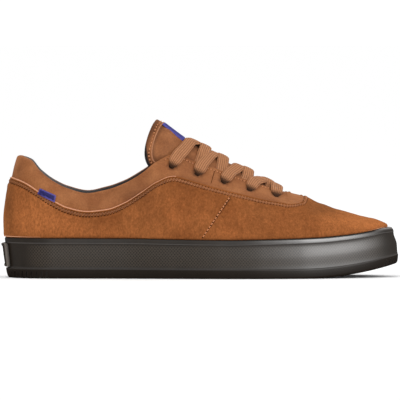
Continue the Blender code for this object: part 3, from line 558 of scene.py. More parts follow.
def srgb(red, green, blue):
    """A colour as it is seen, from 0 to 255, turned into linear light."""
    seen = [c / 255.0 for c in (red, green, blue)]
    return tuple(c / 12.92 if c < 0.04 else ((c + 0.055) / 1.055) ** 2.4 for c in seen)


def unit(array):
    return array / np.maximum(np.linalg.norm(array, axis=-1, keepdims=True), 1e-12)


def smooth_step(low, high, value):
    t = np.clip((value - low) / (high - low), 0.0, 1.0)
    return t * t * (3.0 - 2.0 * t)


def bell(value, middle, width):
    return np.exp(-((value - middle) / width) ** 2)


def waves(points, size, seed):
    """Soft unevenness between about -1 and 1, with bumps of about the given size."""
    random = np.random.default_rng(seed)
    total = np.zeros(points.shape[:-1])
    for _ in range(6):
        way = random.normal(size=3)
        way /= np.linalg.norm(way)
        total += np.sin(points @ way * (2.0 * math.pi / size) + random.uniform(0.0, 6.28))
    return total / 3.0


def grid_faces(index):
    """Quads between the rows and columns of a grid of vertex numbers. Repeats make triangles."""
    corners = np.stack(
        (index[:-1, :-1], index[1:, :-1], index[1:, 1:], index[:-1, 1:]), axis=-1).reshape(-1, 4)
    faces = []
    for face in corners.tolist():
        kept = []
        for vert in face:
            if vert not in kept:
                kept.append(vert)
        faces.append(kept if len(kept) > 2 else None)
    return faces


def new_piece(name, verts, faces, materials, picks=None, uvs=None, masks=None):
    """A piece that rides on the shoe. picks says each face's material, uvs each vertex's place in
    metres on its surface, and masks are named values of the vertices."""
    mesh = bpy.data.meshes.new(name)
    mesh.from_pydata((np.asarray(verts, float) + SHIFT).tolist(), [], faces)
    for made in materials:
        mesh.materials.append(made)
    if picks is not None:
        mesh.polygons.foreach_set("material_index", np.asarray(picks, np.int32))
    if uvs is not None:
        layer = mesh.uv_layers.new(name="surface")
        corner = np.zeros(len(mesh.loops), np.int32)
        mesh.loops.foreach_get("vertex_index", corner)
        layer.data.foreach_set("uv", np.asarray(uvs, np.float32)[corner].ravel())
    for label, values in (masks or {}).items():
        field = mesh.attributes.new(label, "FLOAT", "POINT")
        field.data.foreach_set("value", np.asarray(values, np.float32).ravel())
    mesh.shade_smooth()
    mesh.validate()
    thing = bpy.data.objects.new(name, mesh)
    bpy.context.scene.collection.objects.link(thing)
    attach(thing, "root")
    return thing


def tree_of(verts, faces):
    return BVHTree.FromPolygons([Vector(v) for v in verts], faces)


def carve(thing, cutter_mesh):
    """Cuts a piece with a closed mesh and keeps the result as its own mesh."""
    cutter = bpy.data.objects.new("cutter", cutter_mesh)
    bpy.context.scene.collection.objects.link(cutter)
    change = thing.modifiers.new("carve", "BOOLEAN")
    change.operation = "DIFFERENCE"
    change.solver = "EXACT"
    change.object = cutter
    bpy.context.view_layer.update()
    shape = thing.evaluated_get(bpy.context.evaluated_depsgraph_get())
    carved = bpy.data.meshes.new_from_object(shape)
    thing.modifiers.clear()
    thing.data = carved
    bpy.data.objects.remove(cutter, do_unlink=True)


# Materials

class Paint:
    """A material with its shader, and short ways to add nodes to it."""

    def __init__(self, name, roughness, specular=0.5):
        self.made = bpy.data.materials.new(name)
        self.made.use_nodes = True
        self.tree = self.made.node_tree
        self.shader = self.tree.nodes["Principled BSDF"]
        self.shader.inputs["Roughness"].default_value = roughness
        self.shader.inputs["Specular IOR Level"].default_value = specular
        self.places = self.node("ShaderNodeTexCoord").outputs["Object"]

    def node(self, kind, inputs=None, **settings):
        made = self.tree.nodes.new(kind)
        for name, value in settings.items():
            setattr(made, name, value)
        for name, value in (inputs or {}).items():
            self.feed(made.inputs[name], value)
        return made

    def feed(self, socket, value):
        if isinstance(value, bpy.types.NodeSocket):
            self.tree.links.new(value, socket)
        elif socket.type == "RGBA" and len(value) == 3:
            socket.default_value = (*value, 1.0)
        else:
            socket.default_value = value

    def stretched(self, x, y, z, turn=0.0):
        made = self.node("ShaderNodeMapping", {"Vector": self.places, "Scale": (x, y, z)})
        made.inputs["Rotation"].default_value = (0.0, turn, 0.0)
        return made.outputs["Vector"]

    def noise(self, size, detail=3.0, rough=0.6, places=None):
        inputs = {"Vector": places or self.places, "Scale": 1.0 / size, "Detail": detail}
        inputs["Roughness"] = rough
        return self.node("ShaderNodeTexNoise", inputs).outputs["Fac"]

    def cells(self, size, places=None):
        inputs = {"Vector": places or self.places, "Scale": 1.0 / size}
        return self.node("ShaderNodeTexVoronoi", inputs).outputs["Distance"]

    def mask(self, name):
        return self.node("ShaderNodeAttribute", attribute_name=name).outputs["Fac"]

    def sum(self, operation, a, b):
        made = self.node("ShaderNodeMath", operation=operation)
        self.feed(made.inputs[0], a)
        self.feed(made.inputs[1], b)
        return made.outputs[0]

    def between(self, value, low, high, to_low=0.0, to_high=1.0):
        inputs = {"Value": value, "From Min": low, "From Max": high}
        inputs.update({"To Min": to_low, "To Max": to_high})
        return self.node("ShaderNodeMapRange", inputs).outputs["Result"]

    def blend(self, share, a, b, mode="MIX"):
        made = self.node("ShaderNodeMix", data_type="RGBA", blend_type=mode)
        self.feed(made.inputs[0], share)
        self.feed(made.inputs[6], a)
        self.feed(made.inputs[7], b)
        return made.outputs[2]

    def surface(self):
        """How far along and across its surface a place is, in metres."""
        places = self.node("ShaderNodeUVMap", uv_map="surface").outputs["UV"]
        parts = self.node("ShaderNodeSeparateXYZ", {"Vector": places})
        return parts.outputs["X"], parts.outputs["Y"]

    def mottled(self, base, pattern, least, most):
        """A colour that a pattern makes darker and lighter."""
        return self.blend(1.0, base, self.between(pattern, 0.3, 0.7, least, most), "MULTIPLY")

    def toned(self, base, light, share, dark):
        """A colour with the random tone and the painted light and shade of the tone mask."""
        tone = self.mask("tone")
        base = self.blend(self.between(tone, 0.0, 1.0, 0.0, share), base, light)
        return self.blend(self.between(tone, 0.0, -1.0, 0.0, 0.8), base, dark)

    def colour(self, value):
        self.feed(self.shader.inputs["Base Color"], value)

    def rough(self, value):
        self.feed(self.shader.inputs["Roughness"], value)

    def relief(self, *layers):
        """Bumps, each a height and how deep it is in metres."""
        normal = None
        for height, depth in layers:
            made = self.node("ShaderNodeBump", {"Height": height, "Distance": depth})
            if normal is not None:
                self.tree.links.new(normal, made.inputs["Normal"])
            normal = made.outputs["Normal"]
        self.tree.links.new(normal, self.shader.inputs["Normal"])

    def sheen(self, weight, tint, roughness=0.5):
        self.shader.inputs["Sheen Weight"].default_value = weight
        self.shader.inputs["Sheen Roughness"].default_value = roughness
        self.shader.inputs["Sheen Tint"].default_value = (*tint, 1.0)


def suede_paint():
    """Hairy suede: an even grain of short hairs that lie down and back, over soft clouds."""
    paint = Paint("suede_hairy", 0.95, 0.0)
    lie = paint.stretched(1.0, 1.0, 0.6, 0.3)
    clouds = paint.noise(0.026, 2.0, 0.5)
    nap = paint.noise(0.0045, 3.0, 0.6, lie)
    grain = paint.noise(0.0013, 3.0, 0.7, lie)
    hair = paint.noise(0.00045, 2.0, 0.7, paint.stretched(1.0, 1.0, 0.3, 0.3))
    base = paint.blend(paint.between(clouds, 0.34, 0.66), srgb(116, 67, 35), srgb(132, 79, 43))
    # Light and dark colours of the tone mask: random tone, painted light and painted shade
    base = paint.toned(base, srgb(166, 100, 56), 0.7, srgb(76, 44, 26))
    for pattern, least, most in ((nap, 0.88, 1.12), (grain, 0.72, 1.28), (hair, 0.85, 1.15)):
        base = paint.mottled(base, pattern, least, most)
    paint.colour(base)
    paint.relief((clouds, 0.0008), (nap, 0.0003), (grain, 0.00028), (hair, 0.00010))
    paint.sheen(0.10, srgb(235, 180, 130), 0.45)
    return paint.made


def nubuck_paint(name, light, dark, grain):
    """Smoother buffed leather with a short nap and a soft clouded colour."""
    paint = Paint(name, 0.85, 0.03)
    clouds = paint.noise(0.013, 3.0, 0.5)
    fine = paint.noise(0.0012, 3.0, 0.65)
    pores = paint.cells(0.00085)
    base = paint.blend(paint.between(clouds, 0.35, 0.65), dark, light)
    # Light and dark colours of the tone mask: random tone, painted light and painted shade
    base = paint.toned(base, srgb(160, 104, 64), 0.5, srgb(62, 36, 22))
    base = paint.mottled(base, fine, 0.86, 1.14)
    paint.colour(paint.blend(paint.mask("lined"), base, srgb(30, 27, 26)))
    paint.relief((clouds, 0.0004), (fine, grain), (pores, 0.6 * grain))
    paint.sheen(0.08, srgb(230, 190, 160), 0.4)
    return paint.made


def raw_edge_paint(name, light, dark):
    """The cut edge of the leather, with its fibres showing."""
    paint = Paint(name, 0.9, 0.03)
    fibres = paint.noise(0.0007, 2.0, 0.6)
    paint.colour(paint.blend(paint.between(fibres, 0.35, 0.7), dark, light))
    paint.relief((fibres, 0.0002))
    return paint.made


def lining_paint():
    """Black knitted lining with a fine mesh."""
    paint = Paint("lining_textile", 0.88, 0.3)
    mesh = paint.cells(0.0011)
    soft = paint.noise(0.004, 3.0)
    base = paint.blend(paint.between(mesh, 0.1, 0.6), srgb(22, 21, 22), srgb(48, 46, 47))
    paint.colour(paint.blend(paint.between(soft, 0.3, 0.7, 0.0, 0.4), base, srgb(30, 28, 28)))
    paint.relief((mesh, 0.00035), (soft, 0.0003))
    paint.sheen(0.2, srgb(120, 116, 116))
    return paint.made


def thread_paint(name, light, dark):
    paint = Paint(name, 0.7, 0.08)
    twist = paint.noise(0.0005, 2.0, 0.6)
    paint.colour(paint.blend(paint.between(twist, 0.35, 0.65), dark, light))
    paint.relief((twist, 0.00012))
    return paint.made


def lace_paint():
    """Woven lace: ribs along its length with painted shade in the grooves between them, each rib of
    fine slanted stitches.
    """
    paint = Paint("lace_woven", 0.85, 0.03)
    along, across = paint.surface()
    turn = paint.sum("ADD", paint.sum("MULTIPLY", across, math.pi / LACE_RIB), 0.5 * math.pi)
    rib = paint.sum("ABSOLUTE", paint.sum("SINE", turn, 0.0), 0.0)
    lean = paint.sum("MULTIPLY", paint.sum("PINGPONG", across, LACE_RIB), 2600.0)
    slant = paint.sum("ADD", paint.sum("MULTIPLY", along, 5600.0), lean)
    stitch = paint.sum("SINE", slant, 0.0)
    fuzz = paint.noise(0.0013, 3.0, 0.7)
    # Painted shade: darker in the grooves between the ribs
    base = paint.blend(paint.between(rib, 0.10, 0.62), srgb(104, 66, 42), srgb(168, 115, 79))
    base = paint.blend(1.0, base, paint.between(stitch, -1.0, 1.0, 0.86, 1.10), "MULTIPLY")
    base = paint.mottled(base, fuzz, 0.86, 1.12)
    # Painted shade where the lace goes down into its hole, from the deep mask
    paint.colour(paint.blend(paint.between(paint.mask("deep"), 0.0, 1.0, 0.0, 0.9), base,
                             srgb(30, 16, 9)))
    paint.relief((stitch, 0.00014), (fuzz, 0.0002))
    paint.sheen(0.10, srgb(230, 190, 160))
    return paint.made


def label_paint(name, field, border):
    """Woven ribbon: a fine twill, with a paler border where its mask says."""
    paint = Paint(name, 0.75, 0.1)
    twill = paint.node("ShaderNodeTexWave", {
        "Vector": paint.places, "Scale": 900.0, "Distortion": 0.4, "Detail": 1.0},
        bands_direction="DIAGONAL").outputs["Fac"]
    soft = paint.noise(0.0012, 2.0)
    base = paint.blend(paint.between(twill, 0.0, 1.0, 0.0, 0.2), field, border)
    base = paint.blend(paint.mask("border"), base, border)
    base = paint.blend(paint.between(soft, 0.4, 0.7, 0.0, 0.3), base, srgb(20, 20, 60))
    paint.colour(base)
    paint.relief((twill, 0.00012), (soft, 0.0001))
    return paint.made


def rubber_paint():
    """Dark rubber: embossed diamonds on the side with painted highlights on their tops, smooth rim and
    ends, a little dust, painted highlight lines along the rim, its lower step and the toe, and painted
    shade on the lower band.
    """
    paint = Paint("sole_rubber_dark", 0.5, 0.0)
    along, up = paint.surface()
    along = paint.sum("MULTIPLY", along, 2.0 * math.pi / DIAMOND_PITCH)
    up = paint.sum("MULTIPLY", up, 2.0 * math.pi / DIAMOND_RISE)
    first = paint.sum("SINE", paint.sum("ADD", along, up), 0.0)
    second = paint.sum("SINE", paint.sum("SUBTRACT", along, up), 0.0)
    weave = paint.sum("MAXIMUM", first, second)
    emboss = paint.mask("emboss")
    low = paint.mask("low")
    weave = paint.sum("MULTIPLY", paint.between(weave, -0.2, 1.0), emboss)
    grain = paint.noise(0.0006, 2.0)
    cloud = paint.noise(0.022, 3.0)
    dust = paint.noise(0.0016, 4.0, 0.75)
    base = paint.blend(paint.between(cloud, 0.35, 0.65), srgb(23, 17, 11), srgb(32, 25, 18))
    # Painted highlight on the raised diamonds
    base = paint.blend(paint.sum("MULTIPLY", weave, 0.8), base, srgb(64, 55, 45))
    base = paint.blend(paint.between(dust, 0.60, 0.78, 0.0, 0.2), base, srgb(98, 90, 80))
    # Painted shade on the lower band of the side, which faces a little down
    base = paint.blend(paint.between(low, 0.0, 1.0, 0.0, 0.8), base, srgb(27, 21, 16))
    # Painted highlight lines along the rim, the lower step and the top of the toe
    base = paint.blend(paint.between(paint.mask("pale"), 0.0, 1.0, 0.0, 0.75), base,
                       srgb(140, 136, 134))
    paint.colour(base)
    paint.rough(paint.between(cloud, 0.3, 0.7, 0.46, 0.60))
    paint.relief((weave, 0.00050), (grain, 0.00005), (dust, 0.00006))
    coat = {"Weight": paint.between(low, 0.0, 1.0, 0.085, 0.025), "Roughness": 0.42, "IOR": 2.2}
    for setting, value in coat.items():
        paint.feed(paint.shader.inputs["Coat " + setting], value)
    return paint.made


def plate_paint():
    """Smooth rubber of the heel plate, paler along its border."""
    paint = Paint("plate_rubber", 0.6, 0.0)
    grain = paint.noise(0.0007, 2.0)
    cloud = paint.noise(0.008, 3.0)
    base = paint.blend(paint.between(cloud, 0.35, 0.65), srgb(26, 21, 17), srgb(34, 28, 23))
    paint.colour(paint.blend(paint.mask("pale"), base, srgb(108, 102, 96)))
    paint.rough(paint.between(cloud, 0.3, 0.7, 0.60, 0.75))
    paint.relief((cloud, 0.0002), (grain, 0.00006))
    return paint.made


def dark_paint(name, colour):
    paint = Paint(name, 0.9, 0.0)
    soft = paint.noise(0.001, 2.0)
    paint.colour(paint.blend(paint.between(soft, 0.3, 0.7), colour, tuple(1.3 * c for c in colour)))
    return paint.made


# How fine the pieces are
STATIONS = 200
BELOW = 60
ABOVE = 34
ROLL = 10
EDGE = 3
NUBUCK_OVER = 6

# The materials of the upper's faces, by number
SUEDE, PEACH_EDGE, TAN_EDGE, NUBUCK, LINING = range(5)

# Where the collar's padding starts up its section, how soon it is full, and how round its roll is
PUFF_FROM = 0.25
PUFF_REACH = 0.6
ROLL_RISE = 0.72

# Details, in metres. GAP is a share of a stitch, and TACKS has each bar tack's share and half width
STITCH_PITCH = 0.0023
STITCH_TOP = 0.0011
STITCH_LOW = 0.0037
THREAD = 0.00034
HOLE = 0.00088
HOLE_AHEAD = 0.00062
PALE_FROM = 0.122
GAP = 0.14
ROW_THREAD = 0.00044
TACKS = ((0.724, 0.0042), (EYESTAY_FRONT - 0.004, 0.0055))
TACK_LEGS = 13
TACK_REACH = 0.0011
LACE_RIB = 0.00157
LACE_RIB_HEIGHT = 0.00022
LACE_OVER = 0.0018
DIAMOND_PITCH = 0.0023
DIAMOND_RISE = 0.0026
TONGUE_ROW = 0.0032
TONGUE_RIDGE = 0.0053
LINED_WIDTH = 0.0022
LINED_TOP = 0.104
LINED_FULL = 0.093

# Creases and dents of each side, seen from the side. x and z are metres from the back of the
# sole and above the ground, at both ends. A raised line has a negative depth
CREASES = (
    (0.134, 0.069, 0.116, 0.050, 0.0060, 0.0007),
    (0.120, 0.066, 0.097, 0.047, 0.0070, -0.0004),
    (0.012, 0.064, 0.016, 0.038, 0.0055, 0.0004),
    (0.030, 0.056, 0.034, 0.036, 0.0060, 0.0004),
    (0.060, 0.047, 0.082, 0.040, 0.0065, 0.0004),
    (0.052, 0.066, 0.078, 0.058, 0.0030, 0.0005),
    (0.090, 0.056, 0.112, 0.066, 0.0030, 0.0004),
    (0.212, 0.052, 0.196, 0.036, 0.0060, 0.0004),
    (0.236, 0.046, 0.226, 0.034, 0.0050, 0.0004),
)

# Creases across the vamp, seen from above, with y from the centre line
VAMP_CREASES = (
    (0.233, -0.030, 0.238, 0.026, 0.0040, 0.00030),
    (0.246, -0.034, 0.250, 0.030, 0.0050, 0.00028),
    (0.206, -0.046, 0.222, -0.026, 0.0045, 0.00035),
    (0.204, 0.044, 0.222, 0.026, 0.0045, 0.00035),
)

# Patches of painted light and shade on the upper: x, z, their two sizes, and how light (+) or dark (-)
LIGHT_AND_SHADE_PATCHES = (
    (0.247, 0.052, 0.020, 0.006, -0.3),
    (0.266, 0.044, 0.022, 0.006, 0.8),
    (0.280, 0.039, 0.014, 0.004, 0.5),
    (0.226, 0.060, 0.010, 0.003, 0.6),
    (0.112, 0.050, 0.016, 0.014, -0.3),
    (0.128, 0.050, 0.010, 0.014, 0.5),
    (0.016, 0.045, 0.008, 0.010, 0.3),
    (0.024, 0.052, 0.024, 0.026, 0.5),
    (0.046, 0.040, 0.012, 0.008, 0.5),
    (0.075, 0.034, 0.020, 0.005, 0.5),
    (0.168, 0.034, 0.014, 0.004, 0.5),
    (0.010, 0.080, 0.006, 0.008, -0.3),
    (0.004, 0.058, 0.004, 0.020, -0.7),
    (0.040, 0.072, 0.008, 0.006, 0.4),
    (0.100, 0.062, 0.016, 0.004, -0.3),
    (0.190, 0.052, 0.014, 0.008, -0.15),
    (0.075, 0.072, 0.040, 0.010, -0.25),
    (0.262, 0.037, 0.030, 0.008, 0.3),
    (0.205, 0.074, 0.025, 0.012, 0.5),
)


def fold(flat, start_x, start_y, stop_x, stop_y, width, depth):
    """A soft trough with a low ridge at each side, along a line, fading at its ends."""
    start = np.array((start_x, start_y))
    run = np.array((stop_x, stop_y)) - start
    share = ((flat - start) @ run) / (run @ run)
    near = np.clip(share, 0.0, 1.0)
    off = np.linalg.norm(flat - start - near[..., None] * run, axis=-1)
    fade = smooth_step(-0.15, 0.3, share) * smooth_step(1.15, 0.7, share)
    return fade * depth * (0.45 * bell(off, 1.7 * width, 0.8 * width) - bell(off, 0.0, width))


# Upper

def dense_stations():
    even = [0.5 * (1.0 - math.cos(math.pi * i / STATIONS)) for i in range(STATIONS + 1)]
    fine = [0.706 + 0.002 * i for i in range(31)]
    special = [THROAT_FRONT, EYESTAY_FRONT, EYESTAY_FRONT + 0.0012, EYESTAY_FRONT + 0.0024]
    fine = [s for s in fine if all(abs(s - other) > 0.0009 for other in special)]
    kept = [s for s in even if s < 0.704 or s > 0.769]
    return sorted(kept + fine + special)


class Upper:
    """The upper's outer form as a dense grid, with what each point of it is."""

    def __init__(self):
        self.shares = dense_stations()
        self.throat = self.shares.index(THROAT_FRONT)
        self.foot = 9
        self.edge = self.foot + BELOW
        self.top = self.edge + EDGE + ABOVE
        count = len(self.shares)
        shape = (2, count, self.top + 1)
        self.points = np.zeros(shape + (3,))
        self.lift = np.ones(shape)
        for s, side in enumerate((OUTER, INNER)):
            for k, share in enumerate(self.shares):
                self.points[s, k], self.lift[s, k] = self.section(share, side)
        self.close_seams()
        self.index = self.numbers()
        self.distances()
        self.normals = self.vertex_normals(self.points)

    def section(self, share, side):
        theta = theta_of(share, side)
        a, b, c, d = (np.array(p) for p in section_curve(share, side))
        turn = quarter_share(
            (Vector(a), Vector(b), Vector(c), Vector(d)),
            COLLAR_HEIGHT * section_value("quarter", share))
        gap = OVERLAY_STEP / np.linalg.norm(d - a)
        low = [np.array(upper_foot(theta, r)) for r in (0, 1, 2)]
        rows = []
        for i in range(3):
            rows.append(low[0] + (low[1] - low[0]) * i / 3.0)
        for i in range(6):
            s = i / 6.0
            corner = low[2] + (low[2] - 0.5 * (low[1] + a)) * 0.5
            rows.append((1 - s) ** 2 * low[1] + 2 * s * (1 - s) * corner + s * s * a)
        below = np.linspace(0.0, 1.0, BELOW + 1) ** 0.85 * turn
        steps = turn + gap * np.linspace(0.0, 1.0, EDGE + 1)[1:]
        above = np.linspace(turn + gap, 1.0, ABOVE + 1)[1:]
        t = np.concatenate((below, steps, above))[:, None]
        curve = a * (1 - t) ** 3 + b * 3 * t * (1 - t) ** 2 + c * 3 * t * t * (1 - t) + d * t ** 3
        front = smooth_step(EYESTAY_FRONT, EYESTAY_FRONT + 0.0024, share)
        lifts = [0.0] * 4 + [0.15, 0.4, 0.7, 0.9, 1.0]
        lifts += [1.0] * (BELOW + 1) + [0.55, 0.2, 0.0] + [0.0] * ABOVE
        lifts = np.array(lifts)
        lifts[self.edge + 1:] += (1.0 - lifts[self.edge + 1:]) * front
        return np.concatenate((np.array(rows), curve)), lifts

    def close_seams(self):
        last = len(self.shares) - 1
        for k in (0, last):
            self.points[:, k] = 0.5 * (self.points[0, k] + self.points[1, k])
        ridge = self.points[:, self.throat:, -1]
        ridge[:] = 0.5 * (ridge[0] + ridge[1])

    def numbers(self):
        """Vertex numbers of the grid, the same where both sides meet."""
        index = np.arange(self.lift.size).reshape(self.lift.shape)
        self.join_sides(index)
        return index

    def join_sides(self, index):
        for ends in (0, -1):
            index[1, ends] = index[0, ends]
        index[1, self.throat:, -1] = index[0, self.throat:, -1]

    def distances(self):
        step = np.linalg.norm(np.diff(self.points, axis=2), axis=-1)
        up = np.concatenate((np.zeros(step.shape[:2] + (1,)), np.cumsum(step, axis=2)), axis=2)
        self.above = up - up[:, :, self.edge:self.edge + 1]
        self.left = up[:, :, -1:] - up
        line = self.points[:, :, self.edge]
        run = np.linalg.norm(np.diff(line, axis=1), axis=-1)
        along = np.concatenate((np.zeros((2, 1)), np.cumsum(run, axis=1)), axis=1)
        self.along = np.repeat(along[:, :, None], self.top + 1, axis=2)

    def vertex_normals(self, points):
        flat = points.reshape(-1, 3)
        total = np.zeros_like(flat)
        for s in (0, 1):
            index = self.index[s]
            a, b = index[:-1, :-1], index[1:, :-1]
            c, d = index[1:, 1:], index[:-1, 1:]
            face = np.cross(flat[c] - flat[a], flat[d] - flat[b])
            face *= -1.0 if s == 0 else 1.0
            for corner in (a, b, c, d):
                np.add.at(total, corner.ravel(), face.reshape(-1, 3))
        normals = unit(total)
        sample = normals[self.index[0, len(self.shares) // 3, self.foot + 10]]
        if sample[1] > 0.0:
            normals = -normals
        return normals[self.index]

    def form(self):
        """How far the surface stands off its plain form, in metres."""
        share = np.array(self.shares)[None, :, None]
        off = OVERLAY * self.lift
        ahead = smooth_step(0.42, 0.46, share) * np.exp(-np.maximum(self.above, 0.0) / 0.006)
        front = smooth_step(0.735, EYESTAY_FRONT, share)
        soft = np.maximum(0.65 * ahead, 0.65 * front) * (self.above > 0)
        off = off + OVERLAY * soft * (1.0 - self.lift)
        off = off - 0.00035 * self.sewn()
        off = off + 0.0004 * bell(-self.above, 0.0062, 0.0020) * (share < EYESTAY_FRONT)
        panel = np.clip(self.above / np.maximum(self.above + self.left, 1e-6), 0.0, 1.0)
        padded = np.array([pad(s) for s in self.shares])[None, :, None]
        padded = padded * (0.1 + 0.9 * smooth_step(0.0, 0.08, share))
        off = off + 0.0016 * padded * np.sin(math.pi * panel) ** 1.2 * (self.above > 0)
        seam = self.points[..., (0, 2)]
        top = self.points.copy()
        for x0, z0, x1, z1, width, depth in CREASES:
            off = off + fold(seam, x0, z0, x1, z1, width, depth)
        middle = np.array([centre(x / SOLE_LENGTH) for x in self.points[..., 0].ravel()])
        top[..., 1] -= middle.reshape(top.shape[:-1])
        for x0, y0, x1, y1, width, depth in VAMP_CREASES:
            off = off + fold(top[..., :2], x0, y0, x1, y1, width, depth) * (share > 0.6)
        off = off + fold(seam, *SIDE_SEAM[0], *SIDE_SEAM[1], 0.0014, 0.0003) * (self.above < 0)
        low = smooth_step(0.0, 0.006, self.points[..., 2] - SIDE_HEIGHT)
        off = off + 0.00022 * waves(self.points, 0.021, 3) * low
        off = off + 0.00010 * waves(self.points, 0.008, 5) * low
        for i in range(EYELETS):
            for s, side in enumerate((OUTER, INNER)):
                place = np.array(eyelet(i, side)[0])
                near = np.linalg.norm(self.points[s] - place, axis=-1)
                off[s] -= 0.0010 * bell(near, 0.0, 0.0040)
        same = off.ravel()[self.index]
        return same

    def sewn(self):
        """The band below the quarter's edge that the double row of stitches pulls in."""
        share = np.array(self.shares)[None, :, None]
        band = smooth_step(0.0004, 0.0012, -self.above) * smooth_step(0.0050, 0.0040, -self.above)
        return band * smooth_step(EYESTAY_FRONT + 0.002, EYESTAY_FRONT - 0.01, share)

    # The tone mask: random tone of the leather with painted light and shade, from -1 (dark) to 1
    # (light)
    def tone(self):
        share = np.array(self.shares)[None, :, None]
        value = 0.10 * waves(self.points, 0.03, 11)
        # Painted shade in the stitched trough below the quarter's edge, darkest towards the heel
        value = value - self.sewn() * (0.05 + 0.27 * smooth_step(0.50, 0.42, share))
        # Painted light and shade in soft patches
        for x, z, wide, high, light in LIGHT_AND_SHADE_PATCHES:
            far = ((self.points[..., 0] - x) / wide) ** 2 + ((self.points[..., 2] - z) / high) ** 2
            value = value + light * np.exp(-far)
        # Painted shade on the collar just above the quarter's raw edge
        value = value - 0.25 * bell(self.above, 0.0, 0.0016) * (self.above > 0)
        # Painted shade: a dark ring round each eyelet, where the lace goes into the hole
        for i in range(EYELETS):
            for s, side in enumerate((OUTER, INNER)):
                place = np.array(eyelet(i, side)[0])
                near = np.linalg.norm(self.points[s] - place, axis=-1)
                value[s] -= 0.9 * smooth_step(0.0048, 0.0026, near)
        return np.clip(value, -1.0, 1.0)


# The side seam, where the quarter is sewn on the vamp: its two ends, seen from the side
SIDE_SEAM = ((0.1694, 0.0610), (0.1492, 0.0312))
# The short seam on the eyestay, and the tag's corners, seen from the outer side
EYESTAY_SEAM = ((0.1585, 0.0815), (0.1552, 0.0706))
TAG_CORNERS = ((0.0253, 0.0635), (0.0381, 0.0571), (0.0392, 0.0624), (0.0272, 0.0677))


def inner_wall(upper, rows):
    """The lining's side of the upper: in from the plain form by the wall's own thickness."""
    inside = np.zeros((2, len(upper.shares), len(rows), 3))
    for n, j in enumerate(rows):
        climb = (j - upper.foot) / (upper.top - upper.foot)
        for k, share in enumerate(upper.shares):
            thick = WALL + (COLLAR_PAD - WALL) * pad(share) * ease((climb - PUFF_FROM) / PUFF_REACH)
            for s, side in enumerate((OUTER, INNER)):
                away = upper.normals[s, k, j]
                if j < upper.foot:
                    away = -np.array(inward(theta_of(share, side)))
                    if k in (0, len(upper.shares) - 1):
                        away = np.array((-1.0 if k == 0 else 1.0, 0.0, 0.0))
                inside[s, k, n] = upper.points[s, k, j] - away * thick
    return inside


def rolled_edge(outer, inner):
    """The round rows over the top edge of one side, from the leather to the lining."""
    rise = unit(outer[:, -1] - outer[:, -4])
    o, i = outer[:, -1], inner[:, -1]
    across = unit(o - i)
    rise = unit(rise - across * (rise * across).sum(axis=1, keepdims=True))
    size = 0.5 * np.linalg.norm(o - i, axis=1, keepdims=True)
    for phi in (math.pi * step / ROLL for step in range(1, ROLL)):
        spot = 0.5 * (o + i) + 0.5 * (o - i) * math.cos(phi)
        yield spot + rise * size * ROLL_RISE * math.sin(phi) ** 0.9


def make_upper(materials):
    """One closed wall: suede, raw edge, nubuck and lining."""
    upper = Upper()
    outside = upper.points + upper.normals * upper.form()[..., None]
    count = outside.size // 3
    rows = [0, 3] + list(range(upper.foot, upper.top, 4)) + [upper.top]
    inside = inner_wall(upper, rows)
    inside_index = count + np.arange(inside.size // 3).reshape(inside.shape[:3])
    upper.join_sides(inside_index)
    verts = [outside.reshape(-1, 3), inside.reshape(-1, 3)]
    base = count + inside.size // 3
    tan_from = next(k for k, s in enumerate(upper.shares) if s > CORNER)
    front = upper.shares.index(EYESTAY_FRONT)
    faces = []
    picks = []

    def add(table, flip, pick):
        """Adds a grid's faces, each with the material that pick says for its place in it."""
        made = grid_faces(table[::-1] if flip else table)
        for n, face in enumerate(made):
            if face is not None:
                faces.append(face)
                k = n // (table.shape[1] - 1)
                k = len(table) - 2 - k if flip else k
                picks.append(pick(k, n % (table.shape[1] - 1)))

    def outer_pick(k, j):
        if j < upper.edge or k >= front:
            return SUEDE
        if j < upper.edge + EDGE:
            return TAN_EDGE if k >= tan_from else PEACH_EDGE
        return NUBUCK

    first_roll = None
    for s in (0, 1):
        bottom = np.stack((upper.index[s][:, 0], inside_index[s][:, 0]), axis=1)
        add(upper.index[s], s == 0, outer_pick)
        add(inside_index[s], s == 1, lambda k, j: LINING)
        add(bottom, s == 1, lambda k, j: LINING)
        ends = slice(0, upper.throat + 1)
        roll = [upper.index[s][ends, -1]]
        for spot in rolled_edge(outside[s, ends], inside[s, ends]):
            verts.append(spot)
            roll.append(base + np.arange(len(spot)))
            base += len(spot)
        roll.append(inside_index[s][ends, -1])
        roll = np.stack(roll, axis=1)
        if first_roll is None:
            first_roll = roll
        roll[(0, -1), 1:-1] = first_roll[(0, -1), 1:-1]
        add(roll, s == 0, lambda k, j: NUBUCK if j < NUBUCK_OVER else LINING)
    verts = np.concatenate(verts)
    tone = np.zeros(len(verts))
    tone[:count] = upper.tone().ravel()
    thing = new_piece("upper_leather", verts, faces, materials, picks, masks={"tone": tone})
    drop_loose(thing)
    carve(thing, eyelet_holes())
    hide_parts("upper")
    return upper, outside


def drop_loose(thing):
    """Deletes the vertices that no face uses."""
    bm = bmesh.new()
    bm.from_mesh(thing.data)
    bmesh.ops.delete(bm, geom=[v for v in bm.verts if not v.link_faces], context="VERTS")
    bmesh.ops.recalc_face_normals(bm, faces=bm.faces)
    bm.to_mesh(thing.data)
    bm.free()


def eyelet_holes():
    bm = bmesh.new()
    for i in range(EYELETS):
        for side in (OUTER, INNER):
            middle, out = eyelet(i, side)
            turn = out.to_track_quat("Z", "Y").to_matrix().to_4x4()
            turn.translation = middle - out * (0.5 * WALL) + Vector(SHIFT)
            bmesh.ops.create_cone(
                bm, cap_ends=True, segments=24, radius1=0.5 * EYELET_DIAMETER,
                radius2=0.5 * EYELET_DIAMETER, depth=0.0084, matrix=turn)
    mesh = bpy.data.meshes.new("holes")
    bm.to_mesh(mesh)
    bm.free()
    return mesh


# Stitches and thin strips

